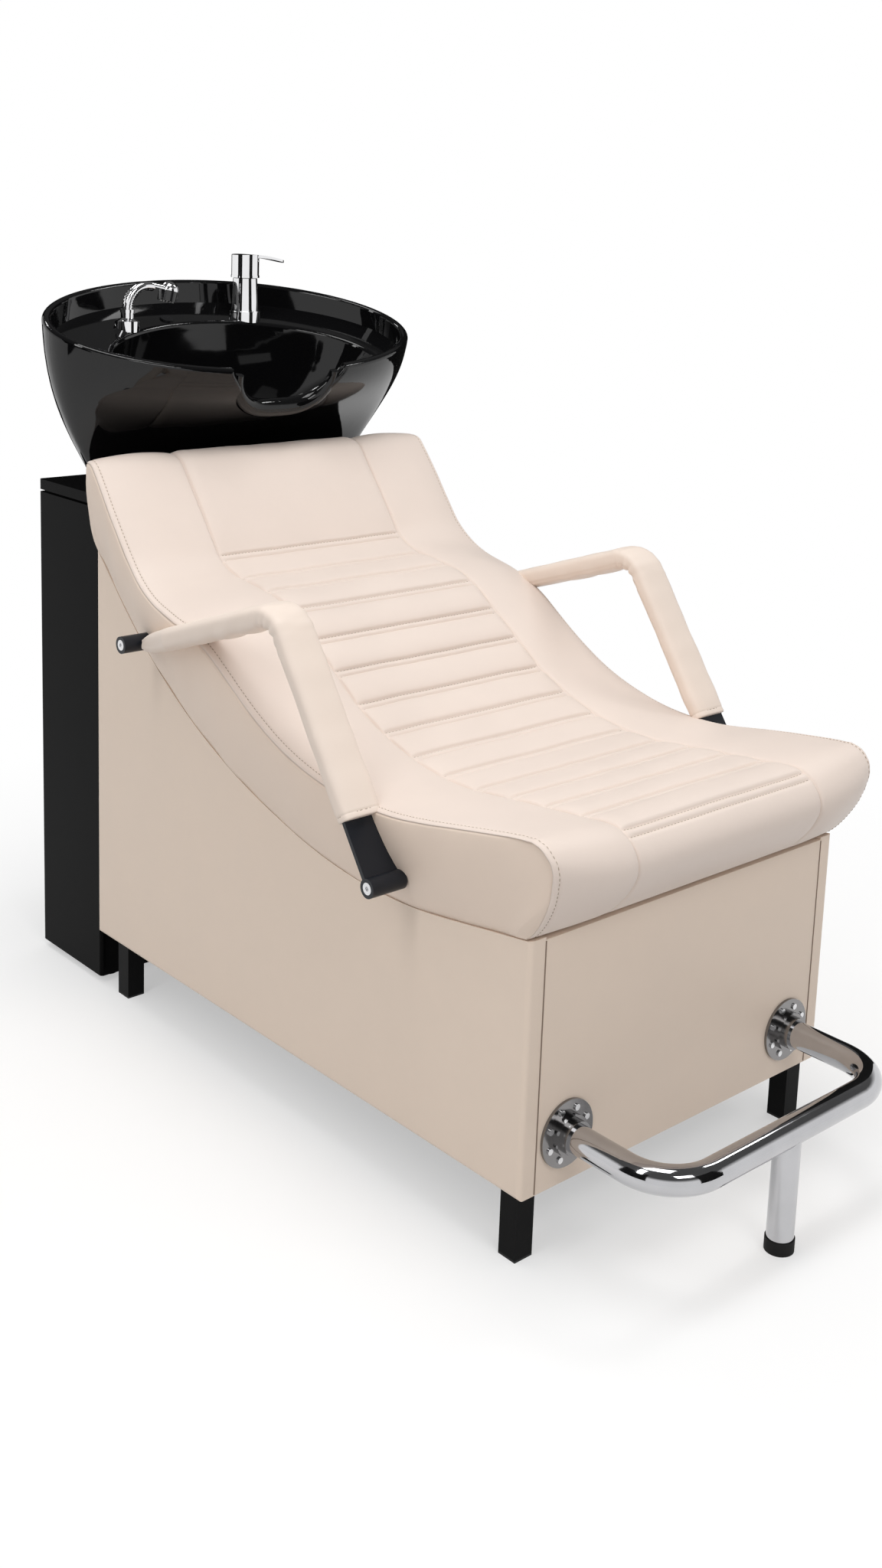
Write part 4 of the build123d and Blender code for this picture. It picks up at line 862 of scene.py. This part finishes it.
def build_sleeve(name, side):
    """The leather sleeve drawn over one bent bar: hems, a seam and creases in the bend."""
    run, marks = rounded(ARM_LINE, ARM_STEP)
    lengths = lengths_along(run)
    total, bend = lengths[-1], marks[1]
    first, last = SLEEVE_FRONT_HEMS[side], total - SLEEVE_REAR_HEM
    rings = np.arange(first + RING_GAPS[0], last - RING_GAPS[1], RING_PITCH)
    distance = np.concatenate([first + HEM_PLACES, rings, last - HEM_PLACES[::-1]])
    centre = read_run(run, lengths, distance)
    behind, ahead = (read_run(run, lengths, distance + step) for step in (-ARM_STEP, ARM_STEP))
    along = unit_vectors(ahead - behind)
    above = np.stack([-along[:, 1], along[:, 0]], axis=1)
    outer, thick, offset = (sizes[:, None] for sizes in sleeve_sizes(distance, bend, total))
    angles = 2 * math.pi * np.arange(SLEEVE_AROUND) / SLEEVE_AROUND
    round_turn = np.stack([np.cos(angles), np.sin(angles)])
    turn = np.sign(round_turn) * np.abs(round_turn) ** SLEEVE_SQUARENESS
    x = ARM_INNER_X + (outer - ARM_INNER_X) / 2 * (1 + turn[0])
    depth = offset + thick * turn[1]
    places = ((distance - first)[:, None], (last - distance)[:, None], (distance - bend)[:, None])
    unevenness, scale = SLEEVE_UNEVENNESS
    seed = SLEEVE_SEEDS[side]
    grow = sleeve_relief(*places, angles, turn, seed)
    grow += unevenness * soft_noise(x, centre[:, :1] + depth, centre[:, 1:], scale, seed)
    x, depth = x + grow * round_turn[0], depth + grow * round_turn[1]

    def rings_at(x, depth):
        side_view = centre[:, :, None] + above[:, :, None] * depth[:, None, :]
        return np.stack([side * x, side_view[:, 0], side_view[:, 1]], axis=-1)

    mouths = rings_at(np.clip(x, ARM_INNER_X + BAR_MARGIN, outer - BAR_MARGIN),
                      np.clip(depth, -BAR_HALF, BAR_HALF))
    points = np.concatenate([mouths[:1], rings_at(x, depth), mouths[-1:]])
    faces = ring_faces(len(points), SLEEVE_AROUND)
    if side > 0:
        faces = [face[::-1] for face in faces]
    piece = mesh_piece(name, points.reshape(-1, 3), faces, "sleeve_leather", "unit")
    stitches = []
    for place in (HEM_WIDTH, last - first - HEM_WIDTH):
        stitches += hem_stitches(points[int(np.argmin(np.abs(distance - first - place))) + 1])
    sew(name + "_stitching", *zip(*stitches), "unit", radius=SLEEVE_STITCH_RADIUS)
    return piece


for sleeve_name, sleeve_side in (("left", -1), ("right", 1)):
    cover = build_sleeve("sleeve_" + sleeve_name, sleeve_side)
    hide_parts("armrest_sleeve_" + sleeve_name)

# Painted shade in the seams of the box

BOX_SEAM_X = 274.0
BOX_SEAM_Y = -0.1
BOX_SEAM_ENDS = (97.0, 433.0)
BOX_SEAM_POINTS = 30
BOX_SEAM_RADIUS = 1.0
BOX_SEAM_CORNERS = 6


def tube(name, line, radius, corners, material, body):
    """A closed tube along a line of points that runs upwards."""
    along = unit_vectors(np.gradient(line, axis=0))
    side = unit_vectors(np.cross(along, np.array([1.0, 0.0, 0.0])))
    points = [line + out * radius for out in circle(corners, side, np.cross(side, along))]
    faces = ring_faces(len(line), corners) + end_faces(len(line), corners)
    return mesh_piece(name, np.stack(points, axis=1).reshape(-1, 3), faces, material, body)


def add_box_seam_shades():
    """Thin dark tubes of painted shade in the closed seams beside the front panel."""
    height = np.linspace(*BOX_SEAM_ENDS, BOX_SEAM_POINTS)
    for side in (-1, 1):
        line = np.column_stack([np.full_like(height, side * BOX_SEAM_X),
                                np.full_like(height, BOX_SEAM_Y), height])
        tube("front_seam_shade", line, BOX_SEAM_RADIUS, BOX_SEAM_CORNERS, "seam_shadow", "unit")


add_box_seam_shades()

# Floor, backdrop, cards and lamps

FLOOR_HALF = 30.0
FLOOR_WHITE = (0.97, 0.97, 0.97, 1)
FLOOR_BOUNCE = (0.62, 0.62, 0.62, 1)
FLOOR_ROUGHNESS = 0.9
FLOOR_GLOW = 0.45
FLOOR_NEAR = 0.8
FLOOR_FAR = 1.6
WORLD_LIGHT = 0.56
CEILING_LIGHT = 0.10
CEILING_EDGE = (0.30, 0.52)
FLAG_REACH = 3.6
FLAG_BOTTOM = 0.01
FLAG_HEIGHT = 3.2
FLAG_POSTS = 13

# Cards, as (name, azimuth, half angle)
FLAGS = (("rear_flag", 48, 42), ("left_flag", 182, 20), ("front_flag", -74, 16))

# Lamps, as (name, place, target, size, power)
LAMPS = (
    ("overhead", (-0.3, -0.2, 4.2), (0, 0, 0), (1.7, 1.7), 44),
    ("rear_box", (-0.4, 2.9, 3.8), (0, 0.4, 1.0), (1.0, 0.5), 18),
    ("right_box", (2.9, -0.4, 3.8), (0, 0.4, 1.0), (0.5, 1.0), 16),
    ("left_strip", (-2.6, -0.4, 3.0), (0, 0.1, 0.6), (0.5, 2.2), 22),
    ("front_fill", (-0.7, -3.1, 3.4), (0, -0.2, 0.4), (1.6, 1.0), 26),
)


def combine(tree, operation, *sources):
    """Joins values one after another by an operation on two of them."""
    total = sources[0]
    for source in sources[1:]:
        node = add(tree, "ShaderNodeMath", operation=operation)
        tree.links.new(total, node.inputs[0])
        tree.links.new(source, node.inputs[1])
        total = node.outputs[0]
    return total


def seen_share(tree):
    """1 for what the camera sees straight, or by mirror or glass, and 0 for scattered light."""
    path = add(tree, "ShaderNodeLightPath").outputs
    return combine(tree, "MAXIMUM", path["Is Camera Ray"], path["Is Glossy Ray"],
                   path["Is Transmission Ray"])


def stage_mesh(name, points, faces, material):
    """A mesh of the studio, in metres and on no body."""
    data = bpy.data.meshes.new(name)
    data.from_pydata(points, [], faces)
    data.materials.append(material)
    piece = bpy.data.objects.new(name, data)
    scene.collection.objects.link(piece)
    return piece


def add_floor():
    """A white floor that keeps the shadow and fades into the backdrop's white far away."""
    material, tree, shader = new_material("floor")
    tint = ramp(tree, seen_share(tree), FLOOR_BOUNCE, FLOOR_WHITE)
    tree.links.new(tint, shader.inputs["Base Color"])
    adjust(shader, Roughness=FLOOR_ROUGHNESS, Specular_IOR_Level=0.0)
    source = add(tree, "ShaderNodeTexCoord")
    reach = add(tree, "ShaderNodeVectorMath", operation="LENGTH")
    tree.links.new(source.outputs["Object"], reach.inputs[0])
    far = span(tree, reach.outputs["Value"], FLOOR_GLOW, 1.0, FLOOR_NEAR, FLOOR_FAR)
    white = add(tree, "ShaderNodeEmission", Strength=1.0)
    blend = add(tree, "ShaderNodeMixShader")
    tree.links.new(combine(tree, "MULTIPLY", far, seen_share(tree)), blend.inputs["Fac"])
    tree.links.new(shader.outputs["BSDF"], blend.inputs[1])
    tree.links.new(white.outputs["Emission"], blend.inputs[2])
    tree.links.new(blend.outputs["Shader"], tree.nodes["Material Output"].inputs["Surface"])
    corners = [(FLOOR_HALF * x, FLOOR_HALF * y, 0) for x, y in ((-1, -1), (1, -1), (1, 1), (-1, 1))]
    floor = stage_mesh("floor", corners, [(0, 1, 2, 3)], material)


def add_flag(name, azimuth, half_angle):
    """A tall dark card outside the lamps, which gives mirrors something dark to show."""
    angles = np.radians(np.linspace(azimuth - half_angle, azimuth + half_angle, FLAG_POSTS))
    low = [(FLAG_REACH * math.cos(angle), FLAG_REACH * math.sin(angle), FLAG_BOTTOM) for angle in angles]
    high = [(x, y, FLAG_HEIGHT) for x, y, _ in low]
    faces = [(post, post + 1, post + 1 + FLAG_POSTS, post + FLAG_POSTS) for post in range(FLAG_POSTS - 1)]
    flag = stage_mesh(name, low + high, faces, looks["flag_cloth"])
    flag.visible_camera = flag.visible_diffuse = flag.visible_shadow = False


def add_world():
    """White to the camera, dimmer to scattered light, and to mirrors white with a dim ceiling."""
    world = bpy.data.worlds.new("studio")
    world.use_nodes = True
    tree = world.node_tree
    background = adjust(tree.nodes["Background"], Color=(1, 1, 1, 1))
    source = add(tree, "ShaderNodeTexCoord")
    height = add(tree, "ShaderNodeSeparateXYZ")
    tree.links.new(source.outputs["Generated"], height.inputs[0])
    mirrored = span(tree, height.outputs["Z"], 1.0, CEILING_LIGHT, *CEILING_EDGE)
    path = add(tree, "ShaderNodeLightPath")
    shown = combine(tree, "MAXIMUM", mirrored, path.outputs["Is Camera Ray"])
    strength = add(tree, "ShaderNodeMapRange", To_Min=WORLD_LIGHT)
    tree.links.new(seen_share(tree), strength.inputs["Value"])
    tree.links.new(shown, strength.inputs["To Max"])
    tree.links.new(strength.outputs["Result"], background.inputs["Strength"])
    scene.world = world


def add_lamp(name, position, target, size, power):
    data = bpy.data.lights.new(name, "AREA")
    data.shape = "RECTANGLE"
    data.size, data.size_y = size
    data.energy = power
    lamp = bpy.data.objects.new(name, data)
    lamp.location = position
    direction = Vector(target) - Vector(position)
    lamp.rotation_euler = direction.to_track_quat("-Z", "Y").to_euler()
    scene.collection.objects.link(lamp)


add_floor()
add_world()
for flag_values in FLAGS:
    add_flag(*flag_values)
for lamp_values in LAMPS:
    add_lamp(*lamp_values)

scene.view_settings.view_transform = "Standard"
